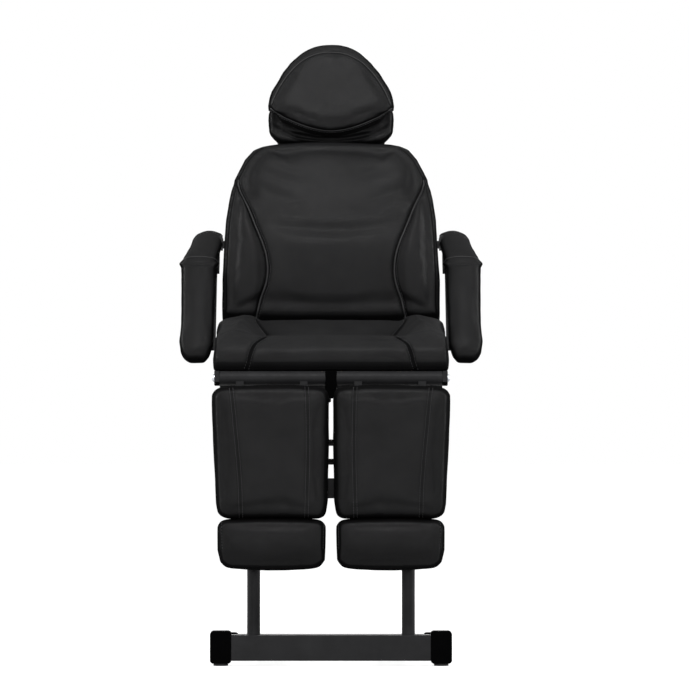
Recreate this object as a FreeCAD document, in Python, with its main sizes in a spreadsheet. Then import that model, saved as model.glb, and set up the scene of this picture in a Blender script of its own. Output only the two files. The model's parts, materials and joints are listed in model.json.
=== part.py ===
import FreeCAD, Part
import math
import os
import re
import Sketcher

# Tattoo chair: a floor base with two posts, a parallel-arm lift, a seat with bolsters,
# a reclining backrest with headrest and armrests, and two leg rests with sliding foot pads.
# Millimetres and degrees, +Z up, the sitter faces -Y, left is -X.

doc = FreeCAD.newDocument("tattoo_chair")
dims = doc.addObject("Spreadsheet::Sheet", "dims")

# The driving dimensions, by assembly. Ends in _share: a share of another size.
DIMENSIONS = {
    # floor base
    "post_y": -280.4, "post_x": 200.5, "post_radius": 17, "post_wall": 3, "post_top": 488,
    "foot_height": 6, "foot_radius": 19, "cap_length": 55, "cap_round": 9, "cap_overlap": 2,
    "front_tube_low": 13, "front_tube_height": 67, "front_tube_depth": 40, "tube_wall": 3,
    "cross_tube_half": 258, "front_cap_height": 84, "rear_cap_height": 40, "edge_round": 4,
    "base_depth": 700, "rail_low": 12, "rail_height": 30, "rail_width": 30,
    "rear_tube_depth": 40, "brace_thick": 12, "brace_top": 330, "brace_high": 50,
    "brace_run": 205, "brace_foot": 50, "beam_depth": 30, "upper_beam_low": 433,
    "upper_beam_height": 52, "lower_beam_low": 262, "lower_beam_height": 40,
    # lift arms
    "upper_pivot_z": 466, "lower_pivot_z": 326, "arm_length": 400, "arm_angle": 16,
    "arm_radius": 24, "arm_thick": 10, "arm_x": 227, "pin_radius": 8, "pin_head": 4,
    "pin_head_radius": 13, "pin_inset": 2, "shaft_radius": 9, "shaft_overhang": 6,
    "drive_shaft_at": 218, "pivot_clearance": 0.7, "running_clearance": 0.4,
    # lift drive
    "drive_x": 90, "drive_behind": 70, "drive_base_z": 280, "drive_pin_radius": 6,
    "drive_tube_radius": 20, "drive_tube_end": 158, "drive_rod_radius": 9, "drive_grip": 32,
    "drive_eye_bore": 11, "drive_eye_radius": 18, "drive_eye_width": 22, "drive_box_half": 23,
    "drive_box_back": 20, "drive_box_front": 22, "drive_motor_radius": 24,
    "drive_motor_length": 95, "drive_motor_apart": 47, "clevis_thick": 6, "clevis_gap": 2,
    "clevis_low": 15, "clevis_high": 18, "clevis_nose": 14,
    # seat frame, measured from the leg rest hinge axis
    "leg_axis_ahead": 55, "hanger_rise": 167, "frame_tube": 30, "frame_top": 4,
    "frame_front": 27, "frame_half": 288, "side_member_x": 215, "frame_back_gap": 95,
    "mid_member_at": 85, "mid_member_depth": 25, "hanger_thick": 8, "hanger_x": 212,
    "hanger_shoulder": 70, "hanger_half": 25, "board_thick": 15, "board_half": 284,
    "board_front": 28, "board_past": 10, "board_round": 25,
    # seat cushion and bolsters
    "seat_half_width": 303, "seat_core_half": 190, "seat_height": 90, "seat_front": -10,
    "seat_length": 440,
    # leg rest hinge
    "leg_shaft_radius": 12, "sleeve_radius": 18.5, "sleeve_clearance": 0.3,
    "hinge_centre_half": 14, "hinge_centre_low": -51, "hinge_nose": 17,
    "hinge_end_thick": 12, "hinge_end_half": 19, "side_clearance": 0.5,
    # leg rests, measured from the hinge axis
    "pad_depth": 72, "leg_board_thick": 12, "guide_size": 20,
    "guide_bore": 15, "guide_top": -8, "guide_end": -345, "guide_inner_x": 70,
    "guide_inset": 53, "rod_size": 14.4, "rod_top": -60, "rod_end": -470,
    "calf_inner": 6.4, "calf_outer": 303, "calf_top": -25, "calf_bottom": -358.5,
    "foot_inner": 14, "foot_outer": 290, "foot_top": -361.2, "foot_bottom": -490,
    "board_margin": 14, "foot_stretcher": 18, "leg_stretcher_at": -60,
    # leg rest latch
    "ratchet_radius": 26, "ratchet_inset": 30, "ratchet_thick": 6, "ratchet_first": -70,
    "ratchet_last": 40, "latch_y": 45, "latch_z": -40, "latch_pin_radius": 4,
    "latch_reach": 135, "latch_drop": 22, "latch_width": 12, "latch_lug": 10,
    "grip_length": 60, "grip_radius": 9, "latch_gap": 0.8,
    # knobs
    "knob_radius": 17, "knob_length": 14, "knob_stem_radius": 4, "knob_stem": 4,
    "knob_lobe_radius": 5.5, "foot_knob_z": -300, "head_knob_z": 525,
    # backrest, measured from its pivot and along its lean
    "back_pivot_gap": 65, "back_pivot_above": 57, "lean": 18, "back_low": 95,
    "back_length": 514, "back_half_width": 297, "back_pad_depth": 82, "back_board_thick": 15,
    "back_bolster_extra": 12, "back_board_inset": 16, "back_shaft_radius": 10,
    "back_sleeve_radius": 16, "back_sleeve_half": 229, "back_plate_thick": 8,
    "back_plate_high": 20, "back_tube": 25, "back_tube_x": 132, "back_tube_top": 560,
    "back_stretcher_low": 130, "back_stretcher_high": 480, "lever_x": 70,
    "lever_drop": 96, "lever_swing": 35, "lever_tip": 134, "lever_half": 19,
    "lever_plate": 6, "lever_apart": 15, "slot_half": 10, "slot_spare": 3,
    # backrest drive
    "back_drive_front": 165, "back_drive_gap": 135, "back_drive_radius": 18,
    "back_rod_radius": 8, "back_rod_grip": 40, "back_pin_radius": 6, "back_eye_half": 10,
    "back_box_high": 35, "back_box_half": 34, "back_box_front": 88, "back_motor_radius": 24,
    "back_motor_length": 92, "back_motor_apart": 46,
    # headrest
    "head_post_x": 60, "head_post_y": 14.5, "head_post_radius": 8, "socket_radius": 13.5,
    "socket_low": 470, "socket_high": 582, "head_post_low": 425, "head_axis": 702,
    "head_hub_radius": 13, "head_hub_half": 10, "head_hub_x": 32, "head_plate": 3,
    "head_plate_half": 52, "head_plate_high": 84, "head_board_thick": 12,
    "head_board_inset": 12, "head_base_low": 613, "head_base_high": 876,
    "head_base_half": 170, "head_base_depth": 56, "pillow_low": 618, "pillow_high": 892,
    "pillow_half": 175, "pillow_depth": 60,
    # soft forms
    "seam_gap": 1.5, "calf_crown": 30, "foot_crown": 24, "back_crown": 34,
    "bolster_crown": 26, "head_crown": 24, "pillow_crown": 34, "pad_corner": 24,
    "foot_corner": 26, "head_gap": 0.8, "armrest_corner": 20, "side_bow": -1.5,
    "calf_top_bow": 4, "calf_end_bow": -3, "foot_bow": 3, "armrest_bow": 3,
    # armrests, measured from their pivot
    "armrest_up": 338, "armrest_front": 20, "armrest_x": 360, "armrest_half": 47.5,
    "armrest_half_thick": 29, "armrest_bend_y": -56, "armrest_bend_z": -68,
    "armrest_upper": 108, "armrest_upper_angle": 40, "armrest_lower": 310,
    "armrest_lower_angle": 59, "armrest_pin_radius": 7, "armrest_plate": 6,
    "armrest_plate_x": 305.5, "armrest_strap": 13, "armrest_lug_half": 16,
    "armrest_lug_thick": 7, "armrest_bar_high": 20, "armrest_bar_thick": 8,
    "tab_gap": 0.7, "armrest_tab": 44, "armrest_tab_thick": 4,
    # under the seat
    "box_x": 20, "box_width": 130, "box_depth": 120, "box_height": 58,
    "inlet_width": 30, "inlet_height": 24, "inlet_depth": 18, "inlet_recess": 14,
    "socket_size": 14, "socket_depth": 6,
}

# Places worked out from the driving dimensions.
DERIVED = {
    "arm_run": "arm_length * cos(arm_angle)",
    "arm_rise": "arm_length * sin(arm_angle)",
    "leg_axis_y": "post_y - leg_axis_ahead",
    "leg_axis_z": "upper_pivot_z + arm_rise + hanger_rise",
    "hanger_y": "leg_axis_ahead + arm_run",
    "lower_hanger_z": "0 - hanger_rise - (upper_pivot_z - lower_pivot_z)",
    "back_pivot_behind": "seat_front + seat_length + back_pivot_gap",
    "back_pivot_y": "leg_axis_y + back_pivot_behind",
    "back_pivot_z": "leg_axis_z + back_pivot_above",
    "front_tube_top": "front_tube_low + front_tube_height",
    "front_tube_face": "post_y - front_tube_depth / 2",
    "front_tube_back": "post_y + front_tube_depth / 2",
    "rear_tube_back": "front_tube_face + base_depth + front_tube_depth",
    "rear_tube_face": "rear_tube_back - rear_tube_depth",
    "drive_base_y": "post_y + drive_behind",
    "drive_run": "drive_shaft_at * cos(arm_angle) - drive_behind",
    "drive_climb": "upper_pivot_z + drive_shaft_at * sin(arm_angle) - drive_base_z",
    "drive_length": "sqrt(pow(drive_run; 2) + pow(drive_climb; 2))",
    "drive_angle": "atan(drive_climb / drive_run)",
    "frame_low": "frame_top - frame_tube",
    "board_top": "frame_top + board_thick",
    "frame_back": "back_pivot_behind - frame_back_gap",
    "board_back": "frame_back + board_past",
    "back_drive_end": "back_pivot_behind - back_drive_gap",
    "ratchet_x": "frame_half - ratchet_inset",
    "guide_outer_x": "frame_half - guide_inset",
    "side_outer": "side_member_x + frame_tube / 2",
    "back_drive_z": "back_pivot_above - lever_drop",
    "lever_far": "lever_drop / cos(lever_swing)",
    "back_pin_y": "back_pivot_behind + lever_drop * tan(lever_swing)",
    "lever_way": "lever_swing + lean - 90",
    "armrest_pivot_y": "back_pivot_y + armrest_up * sin(lean) - armrest_front * cos(lean)",
    "armrest_pivot_z": "back_pivot_z + armrest_up * cos(lean) + armrest_front * sin(lean)",
}

for row, (name, size) in enumerate(DIMENSIONS.items(), start=1):
    dims.set(f"A{row}", name)
    dims.set(f"B{row}", str(size))
    dims.setAlias(f"B{row}", name)
doc.recompute()

WORD = re.compile(r"[a-z][a-z0-9_]*")


def formula(text):
    """An expression with each named size pointed at its cell of the spreadsheet."""
    def look_up(match):
        word = match.group()
        if word in DIMENSIONS:
            return "dims." + word
        if word in DERIVED:
            return "(" + formula(DERIVED[word]) + ")"
        return word
    return WORD.sub(look_up, str(text))


def size(text):
    """The present value of an expression."""
    found = dims.evalExpression(formula(text))
    return float(getattr(found, "Value", found))


def bind(thing, prop, text):
    thing.setExpression(prop, formula(text))


X_AXIS = FreeCAD.Vector(1, 0, 0)
Y_AXIS = FreeCAD.Vector(0, 1, 0)
QUARTER = 90

# Where each assembly's own axes stand: origin, tilt and the axis it is tilted about.
FRAMES = {
    "ground": (("0", "0", "0"), None, None),
    "upper_arm": (("0", "post_y", "upper_pivot_z"), "arm_angle", X_AXIS),
    "lower_arm": (("0", "post_y", "lower_pivot_z"), "arm_angle", X_AXIS),
    "drive": (("drive_x", "drive_base_y", "drive_base_z"), "drive_angle", X_AXIS),
    "seat": (("0", "leg_axis_y", "leg_axis_z"), None, None),
    "back": (("0", "back_pivot_y", "back_pivot_z"), "lean", -X_AXIS),
    "armrest": (("0", "armrest_pivot_y", "armrest_pivot_z"), None, None),
}

NODES = []


def stand(thing, frame):
    """Give a finished piece its assembly's place."""
    origin, tilt, axis = FRAMES[frame]
    if tilt:
        thing.Placement = FreeCAD.Placement(FreeCAD.Vector(), FreeCAD.Rotation(axis, size(tilt)))
        bind(thing, "Placement.Rotation.Angle", tilt)
    for letter, text in zip("xyz", origin):
        bind(thing, "Placement.Base." + letter, text)


def box(low, high):
    """A block between two corners."""
    block = doc.addObject("Part::Box", "block")
    sides = zip(("Length", "Width", "Height"), "xyz", low, high)
    for prop, letter, start, end in sides:
        bind(block, prop, f"({end}) - ({start})")
        bind(block, "Placement.Base." + letter, start)
    return block


def rod(start, length, radius, axis):
    """A round bar along an axis, from the centre of its first face."""
    bar = doc.addObject("Part::Cylinder", "bar")
    turns = {"x": FreeCAD.Rotation(Y_AXIS, QUARTER), "y": FreeCAD.Rotation(X_AXIS, -QUARTER),
             "z": FreeCAD.Rotation()}
    bar.Placement = FreeCAD.Placement(FreeCAD.Vector(), turns[axis])
    bind(bar, "Height", length)
    bind(bar, "Radius", radius)
    for letter, text in zip("xyz", start):
        bind(bar, "Placement.Base." + letter, text)
    return bar


def cut(base, *tools):
    for tool in tools:
        rest = doc.addObject("Part::Cut", "rest")
        rest.Base = base
        rest.Tool = tool
        base = rest
    return base


def fuse(*pieces):
    joined = doc.addObject("Part::MultiFuse", "joined")
    joined.Shapes = list(pieces)
    joined.Refine = True
    return joined


def rounded(piece, radius, axis):
    """Round the edges that run along an axis."""
    doc.recompute()
    way = {"x": X_AXIS, "y": Y_AXIS, "z": FreeCAD.Vector(0, 0, 1)}[axis]
    edges = []
    for number, edge in enumerate(piece.Shape.Edges, start=1):
        if isinstance(edge.Curve, Part.Line) and abs(edge.Curve.Direction.dot(way)) > 0.99:
            edges.append((number, size(radius), size(radius)))
    soft = doc.addObject("Part::Fillet", "soft")
    soft.Base = piece
    soft.Edges = edges
    return soft


def node(label, frame, *pieces):
    """Name a finished sub-part, which may be a group of separate solids."""
    bare = pieces[0].TypeId == "PartDesign::Body" and pieces[0].Placement.isIdentity()
    if len(pieces) == 1 and (frame == "ground" or bare):
        whole = pieces[0]
    else:
        for piece in pieces:
            piece.Label = label + "_solid"
        whole = doc.addObject("Part::Compound", label)
        whole.Links = list(pieces)
    whole.Label = label
    if frame != "ground":
        stand(whole, frame)
    NODES.append(whole)
    return whole


def sketch_on(body, role, lift="0"):
    """An empty sketch on one of the body's own planes, lifted along its normal."""
    sketch = body.newObject("Sketcher::SketchObject", "outline")
    plane = [item for item in body.Origin.OriginFeatures if item.Role == role][0]
    sketch.AttachmentSupport = [(plane, "")]
    sketch.MapMode = "FlatFace"
    bind(sketch, "AttachmentOffset.Base.z", lift)
    return sketch


def pin_point(sketch, shape, end, point):
    """Hold a point of the sketch at two expressions."""
    for kind, text in zip(("DistanceX", "DistanceY"), point):
        index = sketch.addConstraint(Sketcher.Constraint(kind, -1, 1, shape, end, size(text)))
        sketch.setExpression(f"Constraints[{index}]", formula(text))


def draw_polygon(sketch, points):
    spots = [FreeCAD.Vector(size(across), size(up), 0) for across, up in points]
    first = sketch.GeometryCount
    count = len(spots)
    for index in range(count):
        line = Part.LineSegment(spots[index], spots[(index + 1) % count])
        sketch.addGeometry(line, False)
    for index in range(count):
        after = first + (index + 1) % count
        sketch.addConstraint(Sketcher.Constraint("Coincident", first + index, 2, after, 1))
        pin_point(sketch, first + index, 1, points[index])


def draw_circle(sketch, centre, radius):
    spot = FreeCAD.Vector(size(centre[0]), size(centre[1]), 0)
    index = sketch.addGeometry(Part.Circle(spot, FreeCAD.Vector(0, 0, 1), size(radius)), False)
    pin_point(sketch, index, 3, centre)
    held = sketch.addConstraint(Sketcher.Constraint("Radius", index, size(radius)))
    sketch.setExpression(f"Constraints[{held}]", formula(radius))


def draw_slot(sketch, start, length, radius):
    """A bar with round ends, from a start on the sketch's first axis."""
    near, far, round_end = size(start), size(start) + size(length), size(radius)
    normal = FreeCAD.Vector(0, 0, 1)
    half_turn = math.pi / 2
    top = Part.LineSegment(FreeCAD.Vector(near, round_end, 0), FreeCAD.Vector(far, round_end, 0))
    base = Part.LineSegment(FreeCAD.Vector(far, -round_end, 0),
                            FreeCAD.Vector(near, -round_end, 0))
    right = Part.Circle(FreeCAD.Vector(far, 0, 0), normal, round_end)
    left = Part.Circle(FreeCAD.Vector(near, 0, 0), normal, round_end)
    first = sketch.addGeometry(top, False)
    sketch.addGeometry(Part.ArcOfCircle(right, -half_turn, half_turn), False)
    sketch.addGeometry(base, False)
    sketch.addGeometry(Part.ArcOfCircle(left, half_turn, 3 * half_turn), False)
    second, third, fourth = first + 1, first + 2, first + 3
    for line, line_end, arc, arc_end in ((first, 2, second, 2), (third, 1, second, 1),
                                         (third, 2, fourth, 2), (first, 1, fourth, 1)):
        sketch.addConstraint(Sketcher.Constraint("Tangent", line, line_end, arc, arc_end))
    sketch.addConstraint(Sketcher.Constraint("PointOnObject", fourth, 3, -1))
    sketch.addConstraint(Sketcher.Constraint("PointOnObject", second, 3, -1))
    sketch.addConstraint(Sketcher.Constraint("Equal", second, fourth))
    held = sketch.addConstraint(Sketcher.Constraint("Radius", second, round_end))
    sketch.setExpression(f"Constraints[{held}]", formula(radius))
    for arc, place, text in ((fourth, near, start), (second, far, f"({start}) + ({length})")):
        if abs(place) > 0:
            index = sketch.addConstraint(Sketcher.Constraint("DistanceX", -1, 1, arc, 3, place))
            sketch.setExpression(f"Constraints[{index}]", formula(text))
        else:
            sketch.addConstraint(Sketcher.Constraint("PointOnObject", arc, 3, -2))


def pad(body, sketch, thickness):
    plate = body.newObject("PartDesign::Pad", "plate")
    plate.Profile = sketch
    bind(plate, "Length", thickness)
    plate.Midplane = True
    sketch.Visibility = False
    return plate


def plate(label, middle, thickness, points, holes=(), role="YZ_Plane"):
    """A flat plate with round holes, its mid-plane at a lift along the plane's normal."""
    body = doc.addObject("PartDesign::Body", label)
    sketch = sketch_on(body, role, middle)
    draw_polygon(sketch, points)
    for centre, radius in holes:
        draw_circle(sketch, centre, radius)
    pad(body, sketch, thickness)
    return body


def turned(sign, text):
    """An expression for one side of the chair: -1 is left, 1 is right."""
    return f"{sign} * ({text})"


SIDES = (("left", -1), ("right", 1))


def mirrored_rods(start_x, rest, length, radius):
    """The same crosswise rod on both sides: start_x is its inner end."""
    bars = []
    for _side, sign in SIDES:
        begin = start_x if sign > 0 else f"0 - ({start_x}) - ({length})"
        bars.append(rod((begin,) + rest, length, radius, "x"))
    return bars


def drive_bracket():
    """Two cheeks behind the lower beam, with the pin that the lift drive swings on."""
    back, low, high = "drive_base_y", "drive_base_z - clevis_low", "drive_base_z + clevis_high"
    face = "post_y + beam_depth / 2"
    outline = [(face, low), (f"{back} + clevis_nose", low), (f"{back} + clevis_nose", high),
               (face, high)]
    inner = "drive_x - drive_box_half - clevis_gap - clevis_thick / 2"
    outer = "drive_x + drive_motor_apart + drive_motor_radius + clevis_gap + clevis_thick / 2"
    cheeks = [plate("cheek", middle, "clevis_thick", outline) for middle in (inner, outer)]
    span = f"({outer}) - ({inner}) + clevis_thick"
    axle = rod((f"{inner} - clevis_thick / 2", back, "drive_base_z"), span,
               "drive_pin_radius", "x")
    return cheeks + [axle]


def make_base():
    """Cross tubes with end caps, rails, posts, braces and beams."""
    half = "cross_tube_half"
    body = doc.addObject("PartDesign::Body", "front_cross_tube")
    sketch = sketch_on(body, "YZ_Plane")
    for inset in ("0", "tube_wall"):
        near, far = f"front_tube_face + {inset}", f"front_tube_back - {inset}"
        low, high = f"front_tube_low + {inset}", f"front_tube_top - {inset}"
        draw_polygon(sketch, [(near, low), (far, low), (far, high), (near, high)])
    wall = pad(body, sketch, f"2 * {half}")
    doc.recompute()
    corners = []
    for number, edge in enumerate(wall.Shape.Edges, start=1):
        middle = edge.CenterOfMass
        along = abs(middle.x) < size("edge_round")
        outer = min(abs(middle.y - size("front_tube_face")), abs(middle.y - size("front_tube_back")))
        level = min(abs(middle.z - size("front_tube_low")), abs(middle.z - size("front_tube_top")))
        if along and outer < size("tube_wall") / 2 and level < size("tube_wall") / 2:
            corners.append(f"Edge{number}")
    soft = body.newObject("PartDesign::Fillet", "soft_corners")
    soft.Base = (wall, corners)
    bind(soft, "Radius", "edge_round")
    node("front_cross_tube", "ground", body)

    rear = box((f"0 - {half}", "rear_tube_face", "rail_low"),
               (half, "rear_tube_back", "rail_low + rail_height"))
    node("rear_cross_tube", "ground", rounded(rear, "edge_round", "x"))

    ends = (("front_tube_face", "front_tube_back", "front_cap_height"),
            ("rear_tube_face", "rear_tube_back", "rear_cap_height"))
    caps = []
    for face, back, height in ends:
        for _side, sign in SIDES:
            inner, outer = half, f"{half} + cap_length"
            low_x, high_x = (inner, outer) if sign > 0 else (f"0 - ({outer})", f"0 - {inner}")
            cap = box((low_x, f"{face} - cap_overlap", "foot_height"),
                      (high_x, f"{back} + cap_overlap", f"foot_height + {height}"))
            caps.append(rounded(cap, "cap_round", "y"))
    node("end_caps", "ground", *caps)

    feet = []
    for _side, sign in SIDES:
        for face, back in (("front_tube_face", "front_tube_back"),
                           ("rear_tube_face", "rear_tube_back")):
            feet.append(rod((turned(sign, f"{half} + cap_length / 2"), f"({face} + {back}) / 2",
                             "0"), "foot_height", "foot_radius", "z"))
    node("rubber_feet", "ground", *feet)

    rails = []
    braces = []
    posts = []
    for side, sign in SIDES:
        middle = turned(sign, "post_x")
        rails.append(box((f"{middle} - rail_width / 2", "front_tube_back", "rail_low"),
                         (f"{middle} + rail_width / 2", "rear_tube_face",
                          "rail_low + rail_height")))
        start, top = "post_y + post_radius", "brace_top"
        floor = "rail_low + rail_height"
        outline = [(start, top), (start, f"{top} - brace_high"),
                   (f"{start} + brace_run", floor), (f"{start} + brace_run + brace_foot", floor)]
        braces.append(plate(f"brace_{side}", middle, "brace_thick", outline))
        centre = (middle, "post_y", "front_tube_top")
        tall = "post_top - front_tube_top"
        tube = cut(rod(centre, tall, "post_radius", "z"),
                   rod(centre, tall, "post_radius - post_wall", "z"))
        holes = [rod((f"{middle} - post_radius", "post_y", level), "2 * post_radius",
                     "pin_radius", "x") for level in ("lower_pivot_z", "upper_pivot_z")]
        posts.append(cut(tube, *holes))
    node("posts", "ground", *posts)
    node("floor_rails", "ground", *rails)
    node("post_braces", "ground", *braces)

    beams = []
    stub = "drive_x - drive_box_half - clevis_gap - clevis_thick"
    for start, low, height in (("0 - post_x", "upper_beam_low", "upper_beam_height"),
                               (stub, "lower_beam_low", "lower_beam_height")):
        beam = box((start, "post_y - beam_depth / 2", low),
                   ("post_x", "post_y + beam_depth / 2", f"{low} + {height}"))
        copes = [rod((turned(sign, "post_x"), "post_y", low), height, "post_radius", "z")
                 for _side, sign in SIDES]
        beams.append(cut(beam, *copes))
    beams[-1] = fuse(beams[-1], *drive_bracket())
    node("post_beams", "ground", *beams)

    pins = []
    reach = "arm_x + arm_thick / 2 - post_x + post_radius - pin_inset"
    for level in ("lower_pivot_z", "upper_pivot_z"):
        stems = mirrored_rods("post_x - post_radius + pin_inset", ("post_y", level),
                              reach, "pin_radius")
        heads = mirrored_rods("arm_x + arm_thick / 2", ("post_y", level),
                              "pin_head", "pin_head_radius")
        pins += [fuse(stem, head) for stem, head in zip(stems, heads)]
    node("lift_pivot_pins", "ground", *pins)


def arm_body(label, middle, holes):
    """A flat lift arm with round ends; each hole is a place along it and a radius."""
    body = doc.addObject("PartDesign::Body", label)
    sketch = sketch_on(body, "YZ_Plane", middle)
    draw_slot(sketch, "0", "arm_length", "arm_radius")
    for place, radius in holes:
        draw_circle(sketch, (place, "0"), radius)
    pad(body, sketch, "arm_thick")
    return body


def make_arms():
    """Two pairs of parallel arms with their shafts."""
    reach = "arm_x + arm_thick / 2 + shaft_overhang"
    uppers = []
    lowers = []
    for side, sign in SIDES:
        middle = turned(sign, "arm_x")
        uppers.append(arm_body(
            f"upper_arm_{side}", middle,
            (("0", "pin_radius + running_clearance"), ("drive_shaft_at", "pin_radius"),
             ("arm_length", "shaft_radius + pivot_clearance"))))
        lowers.append(arm_body(
            f"lower_arm_{side}", middle,
            (("0", "pin_radius + running_clearance"), ("arm_length", "pin_radius"))))
    node("upper_arms", "upper_arm", *uppers)
    node("lower_arms", "lower_arm", *lowers)
    node("lift_drive_shaft", "upper_arm",
         rod((f"0 - ({reach})", "drive_shaft_at", "0"), f"2 * ({reach})", "pin_radius", "x"))
    node("lower_rear_shaft", "lower_arm",
         rod((f"0 - ({reach})", "arm_length", "0"), f"2 * ({reach})", "pin_radius", "x"))
    node("upper_rear_shaft", "seat",
         rod((f"0 - ({reach})", "hanger_y", "0 - hanger_rise"), f"2 * ({reach})",
             "shaft_radius", "x"))


def make_lift_drive():
    """Motor with gearbox, outer tube and rod, lying along the drive's own Y axis."""
    gear = box(("0 - drive_box_half", "0 - drive_box_back", "0 - drive_box_half"),
               ("drive_motor_apart + drive_motor_radius", "drive_box_front", "drive_box_half"))
    gear = rounded(gear, "edge_round", "y")
    span = "drive_motor_apart + drive_motor_radius + drive_box_half"
    bore = rod(("0 - drive_box_half", "0", "0"), span, "drive_pin_radius + running_clearance", "x")
    motor = rod(("drive_motor_apart", "drive_box_front", "0"), "drive_motor_length",
                "drive_motor_radius", "y")
    node("lift_motor", "drive", fuse(cut(gear, bore), motor))

    shell = rod(("0", "drive_box_front", "0"), "drive_tube_end - drive_box_front",
                "drive_tube_radius", "y")
    hollow = rod(("0", "drive_box_front", "0"), "drive_tube_end - drive_box_front",
                 "drive_rod_radius + running_clearance", "y")
    node("lift_drive_tube", "drive", cut(shell, hollow))

    start = "drive_tube_end - drive_grip"
    stem = rod(("0", start, "0"), f"drive_length - ({start})", "drive_rod_radius", "y")
    eye_start = ("0 - drive_eye_width / 2", "drive_length", "0")
    eye = rod(eye_start, "drive_eye_width", "drive_eye_radius", "x")
    bore = rod(eye_start, "drive_eye_width", "drive_eye_bore", "x")
    node("lift_drive_rod", "drive", cut(fuse(stem, eye), bore))


def make_seat_frame():
    """Welded frame, hangers, board, hinge brackets and the leg rest shaft."""
    low, high = "frame_low", "frame_top"
    front = box(("0 - frame_half", "frame_front", low),
                ("frame_half", "frame_front + frame_tube", high))
    rear = box(("0 - side_outer", "frame_back - frame_tube", low),
               ("side_outer", "frame_back", high))
    middle = box(("0 - side_member_x", "mid_member_at", low),
                 ("side_member_x", "mid_member_at + mid_member_depth", high))
    sides = [box((f"{turned(sign, 'side_member_x')} - frame_tube / 2", "frame_front", low),
                 (f"{turned(sign, 'side_member_x')} + frame_tube / 2", "frame_back", high))
             for _side, sign in SIDES]
    welded = [front, rear, middle] + sides

    hangers = []
    top, upper, lower = "frame_low", "0 - hanger_rise", "lower_hanger_z"
    for side, sign in SIDES:
        outline = [("frame_back - hanger_shoulder", top), ("frame_back", top),
                   ("hanger_y + hanger_half", f"{upper} + hanger_half"),
                   ("hanger_y + hanger_half", f"{lower} - hanger_half / 2"),
                   ("hanger_y + hanger_half / 2", f"{lower} - hanger_half"),
                   ("hanger_y - hanger_half / 2", f"{lower} - hanger_half"),
                   ("hanger_y - hanger_half", f"{lower} - hanger_half / 2"),
                   ("hanger_y - hanger_half", f"{upper} - hanger_half")]
        holes = ((("hanger_y", upper), "shaft_radius"),
                 (("hanger_y", lower), "pin_radius + running_clearance"))
        hangers.append(plate(f"hanger_{side}", turned(sign, "hanger_x"), "hanger_thick",
                             outline, holes))
    node("seat_hangers", "seat", *hangers)

    board = box(("0 - board_half", "board_front", "frame_top"),
                ("board_half", "board_back", "board_top"))
    node("seat_board", "seat", rounded(board, "board_round", "z"))

    end_x = "frame_half + hinge_end_thick / 2"
    outline = [("0 - hinge_nose", "hinge_centre_low"), ("hinge_nose", "hinge_centre_low"),
               ("frame_front", low), ("frame_front", "sleeve_radius"),
               ("0 - hinge_nose", "sleeve_radius")]
    shaft_hole = ((("0", "0"), "leg_shaft_radius"),)
    centre = plate("hinge_bracket_centre", "0", "2 * hinge_centre_half", outline, shaft_hole)
    ends = []
    for _side, sign in SIDES:
        nose = "0 - hinge_end_half"
        outline = [(nose, "0 - hinge_end_half / 2"), ("0 - hinge_end_half / 2", nose),
                   ("frame_front + frame_tube", nose), ("frame_front + frame_tube", "frame_top"),
                   ("frame_front", "sleeve_radius"), (nose, "sleeve_radius")]
        ends.append(plate("hinge_bracket_end", turned(sign, end_x), "hinge_end_thick",
                          outline, shaft_hole))
    welded += [centre] + ends
    reach = "frame_half + hinge_end_thick"
    node("leg_pivot_shaft", "seat",
         rod((f"0 - ({reach})", "0", "0"), f"2 * ({reach})", "leg_shaft_radius", "x"))

    cheeks = []
    pivot_y, pivot_z = "back_pivot_behind", "back_pivot_above"
    for _side, sign in SIDES:
        middle_x = turned(sign, "side_outer + back_plate_thick / 2")
        outline = [("frame_back - frame_tube", low), ("frame_back + frame_tube", low),
                   (f"{pivot_y} + back_plate_high", f"{pivot_z} - back_plate_high"),
                   (f"{pivot_y} + back_plate_high", f"{pivot_z} + back_plate_high"),
                   (f"{pivot_y} - back_plate_high", f"{pivot_z} + back_plate_high"),
                   ("board_back + board_thick", "frame_top"),
                   ("frame_back - frame_tube", "frame_top")]
        cheeks.append(plate("back_cheek", middle_x, "back_plate_thick", outline,
                            (((pivot_y, pivot_z), "back_shaft_radius"),)))
    welded += cheeks
    reach = "side_outer + back_plate_thick + shaft_overhang"
    node("back_pivot_shaft", "seat",
         rod((f"0 - ({reach})", pivot_y, pivot_z), f"2 * ({reach})", "back_shaft_radius", "x"))

    lugs = []
    for _side, sign in SIDES:
        lug_x = turned(sign, "ratchet_x + ratchet_thick + latch_gap")
        outline = [("latch_y - latch_lug", "frame_low"), ("latch_y - latch_lug", "latch_z"),
                   ("latch_y - latch_lug / 2", "latch_z - latch_lug"),
                   ("latch_y + latch_lug / 2", "latch_z - latch_lug"),
                   ("latch_y + latch_lug", "latch_z"), ("latch_y + latch_lug", "frame_low")]
        ear = plate("latch_lug", lug_x, "ratchet_thick", outline)
        inner = "ratchet_x - ratchet_thick / 2"
        length = "2 * ratchet_thick + latch_gap"
        begin = inner if sign > 0 else f"0 - ({inner}) - ({length})"
        pin = rod((begin, "latch_y", "latch_z"), length, "latch_pin_radius", "x")
        lugs += [ear, pin]
    node("seat_frame", "seat", fuse(*welded, *lugs))


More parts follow.
